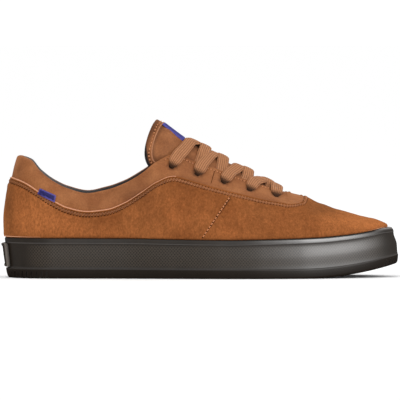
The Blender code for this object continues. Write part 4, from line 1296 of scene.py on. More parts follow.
def on_side(tree, x, z, side):
    """The surface's point and normal seen from a side at x and z."""
    hit = tree.ray_cast(Vector((x, 0.2 * side, z)), Vector((0.0, -side, 0.0)))
    return (hit[0], hit[1] if hit[1].y * side > 0 else -hit[1]) if hit[0] else None


def on_top(tree, x, y):
    hit = tree.ray_cast(Vector((x, y, 0.3)), Vector((0.0, 0.0, -1.0)))
    return (hit[0], hit[1] if hit[1].z > 0 else -hit[1]) if hit[0] else None


def run_of(points):
    """How far each point lies along the line through them all."""
    steps = np.linalg.norm(np.diff(points, axis=0), axis=1)
    return np.concatenate(((0.0,), np.cumsum(steps)))


def along_line(at, points, normals):
    """The places and normals at one or more distances along a line."""
    lines = [np.array([tuple(p) for p in some]) for some in (points, normals)]
    run = run_of(lines[0])
    return [np.stack([np.interp(at, run, line[:, i]) for i in range(3)], axis=-1) for line in lines]


def resample(points, normals, count):
    """Even spacing along a line of points with their normals."""
    spots, ways = along_line(np.linspace(0.0, length_of(points), count), points, normals)
    return spots, unit(ways)


def length_of(points):
    return run_of(np.array([tuple(p) for p in points]))[-1]


def merged(lots):
    """Several lots of vertices and faces as one, and how many faces each lot has."""
    verts = []
    faces = []
    counts = []
    for some, shapes in lots:
        kept = [[len(verts) + v for v in face] for face in shapes if face is not None]
        verts.extend(some)
        faces.extend(kept)
        counts.append(len(kept))
    return verts, faces, counts


def tube_faces(rings, sides, base=0):
    """The faces of a tube through rings of vertices, and of its two ends."""
    faces = []
    for start in range(base, base + (rings - 1) * sides, sides):
        for n in range(sides):
            a, b = start + n, start + (n + 1) % sides
            faces.append((a, b, b + sides, a + sides))
    ring = range(base, base + sides)
    faces.append(tuple(ring)[::-1])
    faces.append(tuple(n + (rings - 1) * sides for n in ring))
    return faces


def turns(sides):
    """The angles of a ring's vertices."""
    return [2.0 * math.pi * n / sides for n in range(sides)]


def threads(starts, stops, normals, radius, raised):
    """Short rounded threads, one from each start to its stop, as one mesh's parts."""
    sides = 7
    rings = ((0.0, 0.35, -0.9), (0.10, 0.8, 0.0), (0.30, 1.0, 0.9), (0.70, 1.0, 0.9),
             (0.90, 0.8, 0.0), (1.0, 0.35, -0.9))
    verts = []
    faces = []
    for start, stop, normal in zip(starts, stops, normals):
        run = stop - start
        across = unit(np.cross(run, normal))
        faces += tube_faces(len(rings), sides, len(verts))
        for share, size, height in rings:
            middle = start + run * share + normal * (raised * height)
            verts += [middle + radius * size * (across * math.cos(t) + normal * math.sin(t))
                      for t in turns(sides)]
    return verts, faces


def pinholes(middles, normals, radius):
    """Shallow dark dots where the needle went through, painted shade of the needle holes."""
    sides = 8
    verts = []
    faces = []
    for middle, normal in zip(middles, normals):
        x_way = unit(np.cross(normal, (0.3, 0.2, 0.9)))
        y_way = np.cross(normal, x_way)
        base = len(verts)
        verts.append(middle + normal * 0.00010)
        for size, height in ((0.75, 0.00009), (1.0, -0.0001)):
            verts += [middle + (x_way * math.cos(t) + y_way * math.sin(t)) * radius * size
                      + normal * height for t in turns(sides)]
        inner = [base + 1 + n for n in range(sides)]
        outer = [vert + sides for vert in inner]
        for n in range(sides):
            m = (n + 1) % sides
            faces.append((base, inner[n], inner[m]))
            faces.append((inner[n], outer[n], outer[m], inner[m]))
        faces.append(tuple(outer)[::-1])
    return verts, faces


def strip(points, normals, width, height, sunk, taper=2):
    """A thin rounded strip along a line, half sunk in what it lies on. It thins out over the
    last points at each end, as many as taper says."""
    sides = 8
    across = unit(np.cross(unit(np.gradient(points, axis=0)), normals))
    verts = []
    for i, point in enumerate(points):
        end = min(1.0, 0.2 + 0.8 * min(i, len(points) - 1 - i) / taper)
        verts += [point + across[i] * (0.5 * width * end * math.cos(t))
                  + normals[i] * (0.5 * height * end * math.sin(t) - sunk) for t in turns(sides)]
    return verts, tube_faces(len(points), sides)


def joined(name, lots, materials, picks=None):
    """One piece of several lots of vertices and faces, each with its own material if picked."""
    verts, faces, counts = merged(lots)
    return new_piece(name, verts, faces, materials, np.repeat(picks or [0] * len(lots), counts))


def line_below(upper, outside, s, stations, row, down):
    """A line along one side of the upper, at a distance below one of its rows."""
    points = []
    normals = []
    for k in stations:
        place = along_line(down, outside[s, k, :row + 1][::-1], upper.normals[s, k, :row + 1][::-1])
        points.append(place[0])
        normals.append(place[1])
    return points, normals


def edge_loop(upper, outside, tree, down):
    """A closed line at a distance below the quarter's edge, round the whole upper."""
    stop = next(k for k, s in enumerate(upper.shares) if s > EYESTAY_FRONT - 0.019)
    sides = [line_below(upper, outside, s, range(stop), upper.edge, down) for s in (0, 1)]
    outer = sides[0][0][-1]
    inner = sides[1][0][-1]
    front_x = crest(EYESTAY_FRONT, OUTER).x + down
    middle = 0.5 * (outer + inner)
    half = 0.5 * (inner[1] - outer[1])
    arc = []
    steps = 32
    for n in range(1, steps):
        angle = math.pi * (n / steps - 0.5)
        x = middle[0] + (front_x - middle[0]) * math.cos(angle) ** 0.62
        y = middle[1] + half * math.copysign(abs(math.sin(angle)) ** 0.85, angle)
        hit = on_top(tree, x, y)
        if hit:
            arc.append(hit)
    return [sides[0][n] + [np.array(hit[n]) for hit in arc] + sides[1][n][::-1] for n in (0, 1)]


def make_edge_stitches(upper, outside, tree, tan, peach, holes):
    """The double zigzag round the quarter's edge and the front of the eyestay."""
    loops = [edge_loop(upper, outside, tree, down) for down in (STITCH_TOP, STITCH_LOW)]
    count = int(length_of(loops[0][0]) / STITCH_PITCH)
    (tops, facing), (lows, low_facing) = (resample(*loop, 2 * count + 1) for loop in loops)
    down = np.arange(2 * count + 1) % 2 == 1
    spots = np.where(down[:, None], lows, tops)
    ways = np.where(down[:, None], low_facing, facing)
    lots = []
    small = []
    for ahead, hole in ((False, HOLE), (True, HOLE_AHEAD)):
        kept = np.flatnonzero((spots[:-1, 0] > PALE_FROM) == ahead)
        lots.append(threads(spots[kept], spots[kept + 1], facing[kept], THREAD, 0.00022))
        small.append(pinholes(spots[kept], ways[kept], hole))
    joined("edge_stitches", lots, [tan, peach], [0, 1])
    joined("edge_pinholes", small, [holes])


def seam_line(tree, ends, side, count):
    """A line on one side of the upper, straight as it is seen from that side."""
    (x0, z0), (x1, z1) = ends
    shares = np.linspace(0.0, 1.0, count)
    hits = [on_side(tree, x0 + (x1 - x0) * s, z0 + (z1 - z0) * s, side) for s in shares]
    points, normals = (np.array([tuple(hit[n]) for hit in hits if hit]) for n in (0, 1))
    return points, unit(normals)


def row_of_stitches(points, normals, pitch, gap, radius):
    """Running stitches along a line: threads and the pinholes at their ends."""
    count = max(int(length_of(points) / pitch), 1)
    spots, ways = resample(points, normals, count + 1)
    run = spots[1:] - spots[:-1]
    starts = spots[:-1] + run * gap
    stops = spots[1:] - run * gap
    thread = threads(starts, stops, ways[:-1], radius, 0.8 * radius)
    return thread, pinholes(spots, ways, 1.5 * radius)


def make_seams(upper, outside, tree, peach, holes, dark):
    """The side seams, the short seams on the eyestay and the rows along the throat."""
    lots = []
    throat = [k for k, share in enumerate(upper.shares) if 0.40 < share < 0.708]
    for s, side in enumerate((OUTER, INNER)):
        points, normals = seam_line(tree, SIDE_SEAM, side, 24)
        fold_line = strip(points + (0.0011, 0, 0), normals, 0.0005, 0.0004, 0.00005)
        lots += [*row_of_stitches(points, normals, 0.0026, GAP, ROW_THREAD), fold_line]
        lots.append(strip(*seam_line(tree, EYESTAY_SEAM, side, 16), 0.0007, 0.0005, 0.0001))
        points, normals = line_below(upper, outside, s, throat, upper.top, 0.0024)
        lots += row_of_stitches(points, unit(np.array(normals)), 0.0024, GAP, 0.00026)
    joined("seam_stitches", lots, [peach, holes, dark], 2 * [0, 1, 2, 2, 0, 1])


def make_bar_tacks(tree, peach):
    """Close zigzags that hold the front of the throat and of the eyestay."""
    lots = []
    for share, half in TACKS:
        place = crest(share, OUTER)
        across = place.y + half * np.linspace(-1.0, 1.0, TACK_LEGS)
        first = [on_top(tree, place.x - TACK_REACH, y) for y in across]
        second = [on_top(tree, place.x + TACK_REACH, y + half / (TACK_LEGS - 1)) for y in across]
        starts, ways = (np.array([tuple(hit[n]) for hit in first]) for n in (0, 1))
        stops = np.array([tuple(hit[0]) for hit in second])
        lots.append(threads(starts, stops, ways, THREAD, 0.00025))
    joined("bar_tacks", lots, [peach])


def make_tag(tree, paint):
    """The folded tag sewn in at the collar, left bare."""
    a, b, c, d = (np.array(p) for p in TAG_CORNERS)
    long, tall = 0.0143, 0.0055

    def place(u, v):
        x, z = (a * (1 - u) + b * u) * (1 - v) + (d * (1 - u) + c * u) * v
        point, normal = (np.array(p) for p in on_side(tree, x, z, OUTER))
        inset = min(min(u, 1 - u) * long, min(v, 1 - v) * tall)
        raised = 0.00035 + 0.0005 * smooth_step(0.0, 0.0006, inset) + 0.0004 * math.sin(3.1 * v)
        border = smooth_step(0.0008, 0.0005, inset)
        return point - normal * 0.0002, point + normal * raised, border

    patch("seam_tag_woven", "side_tag", paint, "border", 24, 12, place)


def patch(name, node, paint, mask, long, wide, place):
    """A thin closed piece over a grid. place gives the low and the high place and the mask's
    value at two shares from 0 to 1."""
    spots = [[place(i / long, j / wide) for j in range(wide + 1)] for i in range(long + 1)]
    low, high, values = (np.array([[spot[n] for spot in row] for row in spots]) for n in range(3))
    under = np.arange(values.size).reshape(values.shape)
    over = under + values.size
    faces = grid_faces(under) + grid_faces(over[::-1])
    for a, b in ((under[0], over[0]), (over[-1], under[-1]), (over[:, 0], under[:, 0]),
                 (under[:, -1], over[:, -1])):
        faces += grid_faces(np.stack((a, b), axis=1))
    verts = np.concatenate((low.reshape(-1, 3), high.reshape(-1, 3)))
    thing = new_piece(name, verts, faces, [paint], masks={mask: np.tile(values.ravel(), 2)})
    drop_loose(thing)
    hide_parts(node)
    return thing


# Tongue: how fine its face is, where its free edge starts, and where its stitches start

TONGUE_GRID = (110, 72)
TONGUE_FREE = 30
ROW_START = 0.42
ROW_TURNS = 24


def make_tongue(nubuck, lining, peach, holes, ridge_paint):
    """The padded tongue: rounded edge, a row of stitches and a thin raised ridge inside it."""
    na, nb = TONGUE_GRID
    places = [(i / na, -1.0 + 2.0 * k / nb) for i in range(na + 1) for k in range(nb + 1)]
    face, ways, thick = (
        np.array([value(a, b) for a, b in places]).reshape(na + 1, nb + 1, -1)
        for value in (tongue_point, tongue_normal, tongue_thickness))
    free = face[TONGUE_FREE:]
    rim_line = np.concatenate((free[:, 0], face[-1, 1:-1], free[::-1, -1]))
    off = np.array([np.linalg.norm(row[:, None] - rim_line, axis=-1).min(axis=1) for row in face])
    front, tone = tongue_face(face, ways, off)
    roll = smooth_step(0.0, 0.0025, off)
    back = face - ways * (thick[..., 0] * (0.55 + 0.45 * roll) + 0.0002)[..., None]
    tuck = LINED_WIDTH * smooth_step(LINED_TOP, LINED_FULL, face[..., 2])
    lined = smooth_step(tuck + 0.0003, tuck - 0.0003, off) * (tuck > 0.0002)
    over = np.arange(off.size).reshape(off.shape)
    under = over + off.size
    faces = []
    picks = []
    for table, pick in (
            (over, 0), (under[::-1], 1), (np.stack((over[0], under[0]), axis=1), 1),
            (np.stack((under[-1], over[-1]), axis=1), 0),
            (np.stack((under[:, 0], over[:, 0]), axis=1), 0),
            (np.stack((over[:, -1], under[:, -1]), axis=1), 0)):
        made = grid_faces(table)
        faces += made
        picks += [pick] * len(made)
    verts = np.concatenate((front.reshape(-1, 3), back.reshape(-1, 3)))
    tongue = new_piece(
        "tongue_padded", verts, faces, [nubuck, lining], picks,
        masks={"tone": np.tile(tone.ravel(), 2), "lined": np.tile(lined.ravel(), 2)})
    drop_loose(tongue)
    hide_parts("tongue")
    points, normals = tongue_line(front, ways, off, TONGUE_ROW)
    thread, dots = row_of_stitches(points + 0.0003 * normals, normals, 0.0027, GAP, ROW_THREAD)
    joined("tongue_stitches", [thread, dots], [peach, holes], [0, 1])
    points, normals = resample(*tongue_line(front, ways, off, TONGUE_RIDGE), 160)
    joined("tongue_ridge", [strip(points, normals, 0.0010, 0.0009, 0.0001)], [ridge_paint])
    return front, over


def tongue_face(face, ways, off):
    """The face with its rolled edge, sunk stitches and soft middle, and its tone with painted shade in
    the trough inside the ridge and on the rolled edge.
    """
    up = np.linspace(0.0, 1.0, len(face))
    grow = smooth_step(0.25, 0.5, up)[:, None]
    tip = smooth_step(0.84, 1.0, up)[:, None]
    lift = -(0.0022 - 0.0017 * tip) * np.clip(1.0 - off / 0.0045, 0.0, 1.0) ** 2
    lift = lift - 0.0004 * bell(off, TONGUE_ROW, 0.0008)
    lift = lift + 0.0007 * bell(off, TONGUE_RIDGE, 0.0007) - 0.0005 * bell(off, 0.0071, 0.0012)
    lift = lift + 0.0007 * smooth_step(0.0075, 0.014, off)
    lift = lift * grow + 0.00025 * waves(face, 0.018, 21)
    # Random tone, with painted shade in the trough inside the ridge and over the rolled free edge
    tone = 0.15 * waves(face, 0.02, 31) - 0.5 * bell(off, 0.0066, 0.0014) * grow
    tone = tone - 0.9 * bell(off, 0.0008, 0.0022)
    return face + ways * lift[..., None], tone


def tongue_line(front, ways, off, inset):
    """The line on the tongue's face at a distance from its free edge."""
    na = front.shape[0] - 1
    nb = front.shape[1] - 1
    middle = nb // 2
    left = []
    right = []
    top = []
    for i in range(int(ROW_START * na), na + 1):
        for line, ks in ((left, range(0, middle)), (right, range(nb, middle, -1))):
            for k in ks:
                step = 1 if ks.step > 0 else -1
                here, there = off[i, k], off[i, k + step]
                if here <= inset < there:
                    t = (inset - here) / (there - here)
                    line.append((i, k + step * t))
                    break
    for n in range(1, ROW_TURNS):
        k = left[-1][1] + (right[-1][1] - left[-1][1]) * n / ROW_TURNS
        column_off = off[:, int(round(k))]
        for i in range(na, 0, -1):
            if column_off[i] <= inset < column_off[i - 1]:
                t = (inset - column_off[i]) / (column_off[i - 1] - column_off[i])
                top.append((i - t, k))
                break
    points = []
    normals = []
    for i, k in left + top + right[::-1]:
        i0, k0 = min(int(i), na - 1), min(int(k), nb - 1)
        u, v = i - i0, k - k0
        for source, target in ((front, points), (ways, normals)):
            target.append(
                source[i0, k0] * (1 - u) * (1 - v) + source[i0 + 1, k0] * u * (1 - v)
                + source[i0, k0 + 1] * (1 - u) * v + source[i0 + 1, k0 + 1] * u * v)
    return np.array(points), unit(np.array(normals))


def make_label(paint):
    """The woven label on the tongue, left bare."""
    spots = [i / 200 for i in range(201)]
    tip = tongue_point(1.0, 0.0)
    reach = [(tongue_point(a, 0.0) - tip).length for a in spots]
    top = max(a for a, r in zip(spots, reach) if r > LABEL_INSET)
    foot = max(a for a, r in zip(spots, reach) if r > LABEL_INSET + LABEL_LENGTH)

    def place(u, v):
        a = foot + (top - foot) * u
        share = 2.0 * v - 1.0
        width = LABEL_SPREAD * LABEL_WIDTH / (BALL_WIDTH * tongue_value("half", a))
        b = width * share * 2.0 / math.pi
        point = np.array(tongue_point(a, b))
        normal = np.array(tongue_normal(a, b))
        inset = min(min(u, 1 - u) * LABEL_LENGTH, (1.0 - abs(share)) * 0.5 * LABEL_WIDTH)
        high = point + normal * (0.0006 + 0.0007 * smooth_step(0.0, 0.0007, inset))
        return point + normal * 0.0004, high, smooth_step(0.0016, 0.0012, inset)

    return patch("tongue_label_woven", "tongue_label", paint, "border", 30, 40, place)


# Laces

# Each crossing's strands, from the ankle: how far behind the next eyelet they come out of the
# throat, how far toe-ward the one on top and the one below bow, and how high they stand, in metres
STRANDS = (
    (-0.0014, 0.0117, 0.0034, 0.0),
    (0.0022, 0.0079, 0.0008, 0.0),
    (0.0030, 0.0083, 0.0008, 0.0),
    (0.0040, 0.0057, -0.0011, 0.0004),
)
BAR_BOW = 0.0008
BAR_LIFT = 0.0014
# A strand starts this share of the throat's width from its middle, and dips by this much there
LACE_START = 0.84
LACE_DIP = 0.0022
# How fine a lace is, and where and how far it is drawn together at an eyelet
LACE_STEP = 0.0006
LACE_SIDES = 88
NARROW_FROM = 0.0026
NARROW_REACH = 0.0060
NARROW_SHARE = 0.46
# The end of a lace in its eyelet: how far ahead of the hole's middle, how high above the upper,
# and how many degrees it is bent over
LACE_BEND = (
    (-0.0036, 0.0013, 0.0),
    (-0.0027, 0.0010, 20.0),
    (-0.0019, 0.0004, 45.0),
    (-0.0012, -0.0005, 68.0),
    (-0.0008, -0.0016, 82.0),
    (-0.0006, -0.0032, 90.0),
)


def lace_path(tree, start, stop, bow, lift):
    """A tight line over the instep from one place to another, with how it faces."""
    dense = 61
    flat = Vector((stop.x - start.x, stop.y - start.y, 0.0))
    places = []
    for i in range(dense):
        s = i / (dense - 1)
        x = start.x + flat.x * s + bow * math.sin(math.pi * s)
        y = start.y + flat.y * s
        best = 0.0
        for shift in (-0.5, -0.25, 0.0, 0.25, 0.5):
            dx = shift * LACE_WIDTH
            hit = tree.ray_cast(Vector((x + dx, y, 0.3)), Vector((0.0, 0.0, -1.0)))[0]
            if hit is not None:
                best = max(best, hit.z - LACE_SLOPE * dx)
        places.append((s * flat.length, x, y, best))
    heights = taut([(place[0], place[3]) for place in places])
    points = np.array([(place[1], place[2], h) for place, h in zip(places, heights)])
    rise = np.sin(np.pi * np.linspace(0.0, 1.0, dense)) ** 2
    along = unit(np.gradient(points, axis=0))
    wide = np.array((1.0, 0.0, LACE_SLOPE))
    across = unit(wide - along * (along @ wide)[:, None])
    out = np.cross(across, along)
    out *= np.where(out[:, 2:] < 0.0, -1.0, 1.0)
    points = points + out * (0.0012 + lift * rise)[:, None]
    return points, out


def into_hole(points, out, i, side):
    """Bends the end of a lace round and down into its eyelet."""
    middle, normal = (np.array(v) for v in eyelet(i, side))
    toward = points[-1] - points[-8]
    toward = unit(toward - normal * (toward @ normal))
    left = np.linalg.norm(points - points[-1], axis=1)
    keep = int((left > 0.0046).sum())
    bend = []
    facing = []
    for ahead, height, turned in LACE_BEND:
        bend.append(middle + toward * ahead + normal * height)
        angle = math.radians(turned)
        facing.append(normal * math.cos(angle) + toward * math.sin(angle))
    return np.concatenate((points[:keep], bend)), np.concatenate((out[:keep], facing))


def ribbon(points, out, narrow_start, narrow_end):
    """A puffy woven lace along a line, drawn together where it goes into a hole."""
    count = max(int(length_of(points) / LACE_STEP), 8)
    points, out = resample(points, out, count)
    for _ in range(3):
        points[1:-1] = 0.25 * (points[:-2] + points[2:]) + 0.5 * points[1:-1]
        out[1:-1] = 0.25 * (out[:-2] + out[2:]) + 0.5 * out[1:-1]
    along = unit(np.gradient(points, axis=0))
    out = unit(out - along * (out * along).sum(axis=1, keepdims=True))
    across = np.cross(along, out)
    sides = LACE_SIDES
    run = run_of(points)
    ends = [run[-1] - run] * narrow_end + [run] * narrow_start
    squeeze = np.ones(count)
    for left in ends:
        t = np.clip((left - NARROW_FROM) / NARROW_REACH, 0.0, 1.0)
        wide_share = NARROW_SHARE + (1.0 - NARROW_SHARE) * np.sqrt(1.0 - (1.0 - t) ** 2)
        squeeze = np.minimum(squeeze, wide_share)
    angle = 2.0 * math.pi * np.arange(sides) / sides
    c, s = np.cos(angle), np.sin(angle)
    flat = 0.5 * LACE_WIDTH * np.sign(c) * np.abs(c) ** 0.85
    rib = LACE_RIB_HEIGHT * (np.abs(np.sin(math.pi * (flat / LACE_RIB + 0.5))) - 0.6)
    deep = np.sign(s) * np.abs(s) ** 0.75
    wide = flat[None, :] * squeeze[:, None]
    thick = 0.5 * LACE_THICKNESS * (1.0 + 0.25 * (1.0 - squeeze))[:, None] + rib[None, :]
    wobble = 1.0 + 0.03 * np.sin(run / 0.0041)[:, None]
    verts = (points[:, None] + across[:, None] * (wide * wobble)[..., None]
             + out[:, None] * (thick * deep[None, :])[..., None])
    uvs = np.stack((np.repeat(run[:, None], sides, axis=1),
                    np.repeat(flat[None, :], count, axis=0)), axis=-1)
    # The deep mask: painted shade over the last few millimetres of each end that goes into a hole
    deep = np.zeros(count)
    for left in ends:
        deep = np.maximum(deep, smooth_step(0.0062, 0.0026, left))
    index = np.arange(count * sides).reshape(count, sides)
    index = np.concatenate((index, index[:, :1]), axis=1)
    faces = grid_faces(index)
    faces.append(list(range(sides))[::-1])
    faces.append([(count - 1) * sides + n for n in range(sides)])
    return verts.reshape(-1, 3), faces, uvs.reshape(-1, 2), np.repeat(deep, sides)


def lace_piece(name, strands, paint, node):
    verts, faces, _ = merged([strand[:2] for strand in strands])
    uvs, deep = (np.concatenate([strand[n] for strand in strands]) for n in (2, 3))
    thing = new_piece(name, verts, faces, [paint], uvs=uvs, masks={"deep": deep})
    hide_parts(node)


def make_laces(lots, paint):
    """The bar and the crossings, run down through the eyelets and out under the eyestay."""
    verts, faces, _ = merged(lots)
    tree = tree_of(verts, faces)
    last = EYELETS - 1
    ends = {(i, side): eyelet(i, side)[0] for i in range(EYELETS) for side in (OUTER, INNER)}
    points, out = lace_path(tree, ends[last, OUTER], ends[last, INNER], BAR_BOW, BAR_LIFT)
    points, out = into_hole(points, out, last, INNER)
    points, out = into_hole(points[::-1], out[::-1], last, OUTER)
    lace_piece("lace_bar_woven", [ribbon(points, out, True, True)], paint, "lace_bar")
    for i in range(last):
        back, over_bow, under_bow, lift = STRANDS[i]
        share = eyelet_share(i + 1) - back / SOLE_LENGTH
        middle = centre(share)
        strands = []
        for side, bow, extra in ((OUTER, over_bow, LACE_OVER), (INNER, under_bow, 0.0)):
            edge = crest(share, side)
            inside = edge.copy()
            inside.y = middle + LACE_START * (edge.y - middle)
            points, out = lace_path(tree, inside, ends[i, -side], bow, extra + lift)
            run = np.linalg.norm(points - points[0], axis=1)
            points[:, 2] -= LACE_DIP * smooth_step(0.011, 0.003, run)
            under = np.array(edge) + (0.0, 0.003 * side, -WALL - LACE_DIP)
            lead = points[0] + (under - points[0]) * np.linspace(1.0, 0.0, 6)[:-1, None]
            points = np.concatenate((lead, points))
            out = np.concatenate((np.repeat(out[:1], 5, axis=0), out))
            points, out = into_hole(points, out, i, -side)
            strands.append(ribbon(points, out, False, True))
        lace_piece("lace_crossing_%d_woven" % (i + 1), strands, paint, "lace_crossing_%d" % (i + 1))


# Sole

def make_outsole(paint):
    """The cup sole with its rim, its embossed side, nicks and tread."""
    around = 640
    low_rises = {0.008, 0.015, 0.06, 0.10, 0.15, 0.20, 0.225, 0.245}
    high_rises = {0.87, 0.875, 0.90, 0.93, 0.96, 0.985, 0.993}
    between = {0.30 + 0.055 * i for i in range(10)}
    rises = sorted({row[0] for row in PROFILE} | low_rises | between | high_rises)
    thetas = [2.0 * math.pi * i / around for i in range(around)]
    grid = np.array([[side_point(t, r) for r in rises] for t in thetas])
    share = grid[..., 0] / SOLE_LENGTH
    height = np.array(rises)[None, :]
    fade = smooth_step(0.045, 0.09, share) * smooth_step(0.975, 0.93, share)
    emboss = fade * smooth_step(0.27, 0.32, height) * smooth_step(0.868, 0.85, height)
    dots = smooth_step(0.06, 0.12, share) * smooth_step(0.95, 0.90, share)
    emboss = np.maximum(emboss, 0.4 * dots * bell(height, 0.16, 0.03))
    # Where the painted shade of the lower band lies
    low = smooth_step(0.27, 0.20, height) * np.ones_like(share)
    # Where the painted highlight lines lie: the rim, the lower step and the top of the toe
    pale = 0.30 * bell(height, 0.885, 0.008) + 0.20 * bell(height, 0.245, 0.012)
    pale = np.maximum(pale, smooth_step(0.93, 0.965, share) * bell(height, 1.0, 0.03))
    run = np.linalg.norm(np.diff(grid[:, -1], axis=0, append=grid[:1, -1]), axis=1)
    along = np.repeat(np.cumsum(run)[:, None] - run[:, None], len(rises), axis=1)
    uv = np.stack((along, grid[..., 2]), axis=-1)
    tops = [np.array([ring_point(t, cup_depth(t, deep), height_of) for t in thetas])
            for deep, height_of in ((False, rim), (True, cup_floor))]
    lip = 0.5 * (grid[:, -1] + tops[0]) + (0.0, 0.0, LIP_RISE)
    points = np.concatenate((grid, np.stack([lip] + tops, axis=1)), axis=1)
    inside = np.zeros((around, 3))
    emboss, low = (np.concatenate((mask, inside), axis=1) for mask in (emboss, low))
    pale, uv = (np.concatenate((v, np.repeat(v[:, -1:], 3, axis=1)), axis=1) for v in (pale, uv))
    index = np.arange(points.size // 3).reshape(points.shape[:2])
    faces = grid_faces(np.concatenate((index, index[:1]), axis=0))
    floors = [grid_faces(facing_pairs(ring)) for ring in (index[:, 0], index[:, -1])]
    faces += floors[0] + [face[::-1] for face in floors[1]]
    thing = new_piece(
        "outsole_rubber", points.reshape(-1, 3), faces, [paint],
        uvs=uv.reshape(-1, 2), masks={"emboss": emboss, "pale": pale, "low": low})
    drop_loose(thing)
    thing.data.set_sharp_from_angle(angle=math.radians(40))
    carve(thing, sole_cutters())
    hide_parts("outsole")


def facing_pairs(ring):
    """Pairs of a ring's vertices that face each other, from the heel to the toe."""
    half = len(ring) // 2
    return np.stack((ring[:half + 1], ring[-np.arange(half + 1)]), axis=1)


def sole_cutters():
    """Zigzag grooves under the sole and slanted nicks in its lower edge, as one closed mesh."""
    bm = bmesh.new()
    for start, stop, count in GROOVE_FIELDS:
        for n in range(count):
            add_groove(bm, start + (stop - start) * n / (count - 1))
    steps = 720
    travelled = 0.0
    due = 0.5 * NICK_PITCH
    last = outline(0.0)
    for theta in (2.0 * math.pi * i / steps for i in range(1, steps + 1)):
        here = outline(theta)
        travelled += (here - last).length
        last = here
        if travelled >= due:
            due += NICK_PITCH
            if not HEEL_NICKS_END < here.x / SOLE_LENGTH < TOE_NICKS_START:
                add_nick(bm, theta)
    bmesh.ops.recalc_face_normals(bm, faces=bm.faces)
    bmesh.ops.translate(bm, verts=bm.verts, vec=Vector(SHIFT))
    mesh = bpy.data.meshes.new("cutters")
    bm.to_mesh(mesh)
    bm.free()
    return mesh


def add_groove(bm, share):
    """A zigzag groove across the sole."""
    outer = centre(share) - half_width(share, OUTER) + GROOVE_BORDER
    inner = centre(share) + half_width(share, INNER) - GROOVE_BORDER
    low = []
    high = []
    for k in range(GROOVE_LEGS + 1):
        y = outer + (inner - outer) * k / GROOVE_LEGS
        swing = GROOVE_SWING if k % 2 else -GROOVE_SWING
        for shift in (-0.5, 0.5):
            x = share * SOLE_LENGTH + swing + shift * GROOVE_WIDTH
            low.append(bm.verts.new((x, y, ground(x) - CUT_PAST)))
            high.append(bm.verts.new((x, y, ground(x) + GROOVE_DEPTH)))
    for a in range(0, 2 * GROOVE_LEGS, 2):
        b, c, d = a + 1, a + 3, a + 2
        bm.faces.new((low[a], low[b], low[c], low[d]))
        bm.faces.new((high[a], high[d], high[c], high[b]))
        bm.faces.new((low[a], low[d], high[d], high[a]))
        bm.faces.new((low[b], high[b], high[c], low[c]))
    bm.faces.new((low[0], high[0], high[1], low[1]))
    bm.faces.new((low[-2], low[-1], high[-1], high[-2]))


def add_nick(bm, theta):
    """A slanted nick in the sole's lower edge."""
    foot = side_point(theta, NICK_FOOT)
    up = (side_point(theta, PROFILE[2][0]) - foot).normalized()
    along = inward(theta).cross(Vector((0.0, 0.0, 1.0)))
    ahead = foot.x > 0.5 * SOLE_LENGTH
    lean = (up + along * (NICK_LEAN_TOE if ahead else NICK_LEAN_HEEL)).normalized()
    middle = foot + lean * (0.5 * NICK_HEIGHT - CUT_PAST)
    side = along.normalized() * (0.5 * NICK_WIDTH)
    depth = lean.cross(side).normalized() * NICK_DEPTH
    length = lean * (0.5 * NICK_HEIGHT + CUT_PAST)
    signs = (-1, 1)
    corners = {(a, b, c): bm.verts.new(middle + side * a + depth * b + length * c)
               for a in signs for b in signs for c in signs}
    for axis in range(3):
        for sign in signs:
            loop = [[-1, -1], [1, -1], [1, 1], [-1, 1]]
            for key in loop:
                key.insert(axis, sign)
            bm.faces.new([corners[tuple(key)] for key in loop])


def make_heel_plate(paint):
    """The plate on the back of the sole: rounded, with a raised border round a bare field."""
    reach = 0.0
    while outline(reach).y > -0.5 * PLATE_WIDTH:
        reach += 0.002
    tall = SIDE_HEIGHT * (PLATE_TOP - PLATE_FOOT)
    rounded = 0.0009

    def place(u, v):
        theta = reach * (2.0 * u - 1.0)
        rise = PLATE_FOOT + (PLATE_TOP - PLATE_FOOT) * v
        border = min(min(u, 1 - u) * PLATE_WIDTH, min(v, 1 - v) * tall)
        corner = 1.0 - min(border / rounded, 1.0)
        proud = PLATE_THICKNESS - rounded * (1.0 - math.sqrt(1.0 - corner ** 2))
        proud -= PLATE_RELIEF * float(smooth_step(0.0019, 0.0025, border))
        pale = smooth_step(0.0006, 0.0002, border) + 0.35 * bell(border, 0.0017, 0.0004)
        return side_point(theta, rise, FIT), side_point(theta, rise, FIT + proud), pale

    patch("heel_plate_rubber", "heel_plate", paint, "pale", 72, 44, place)


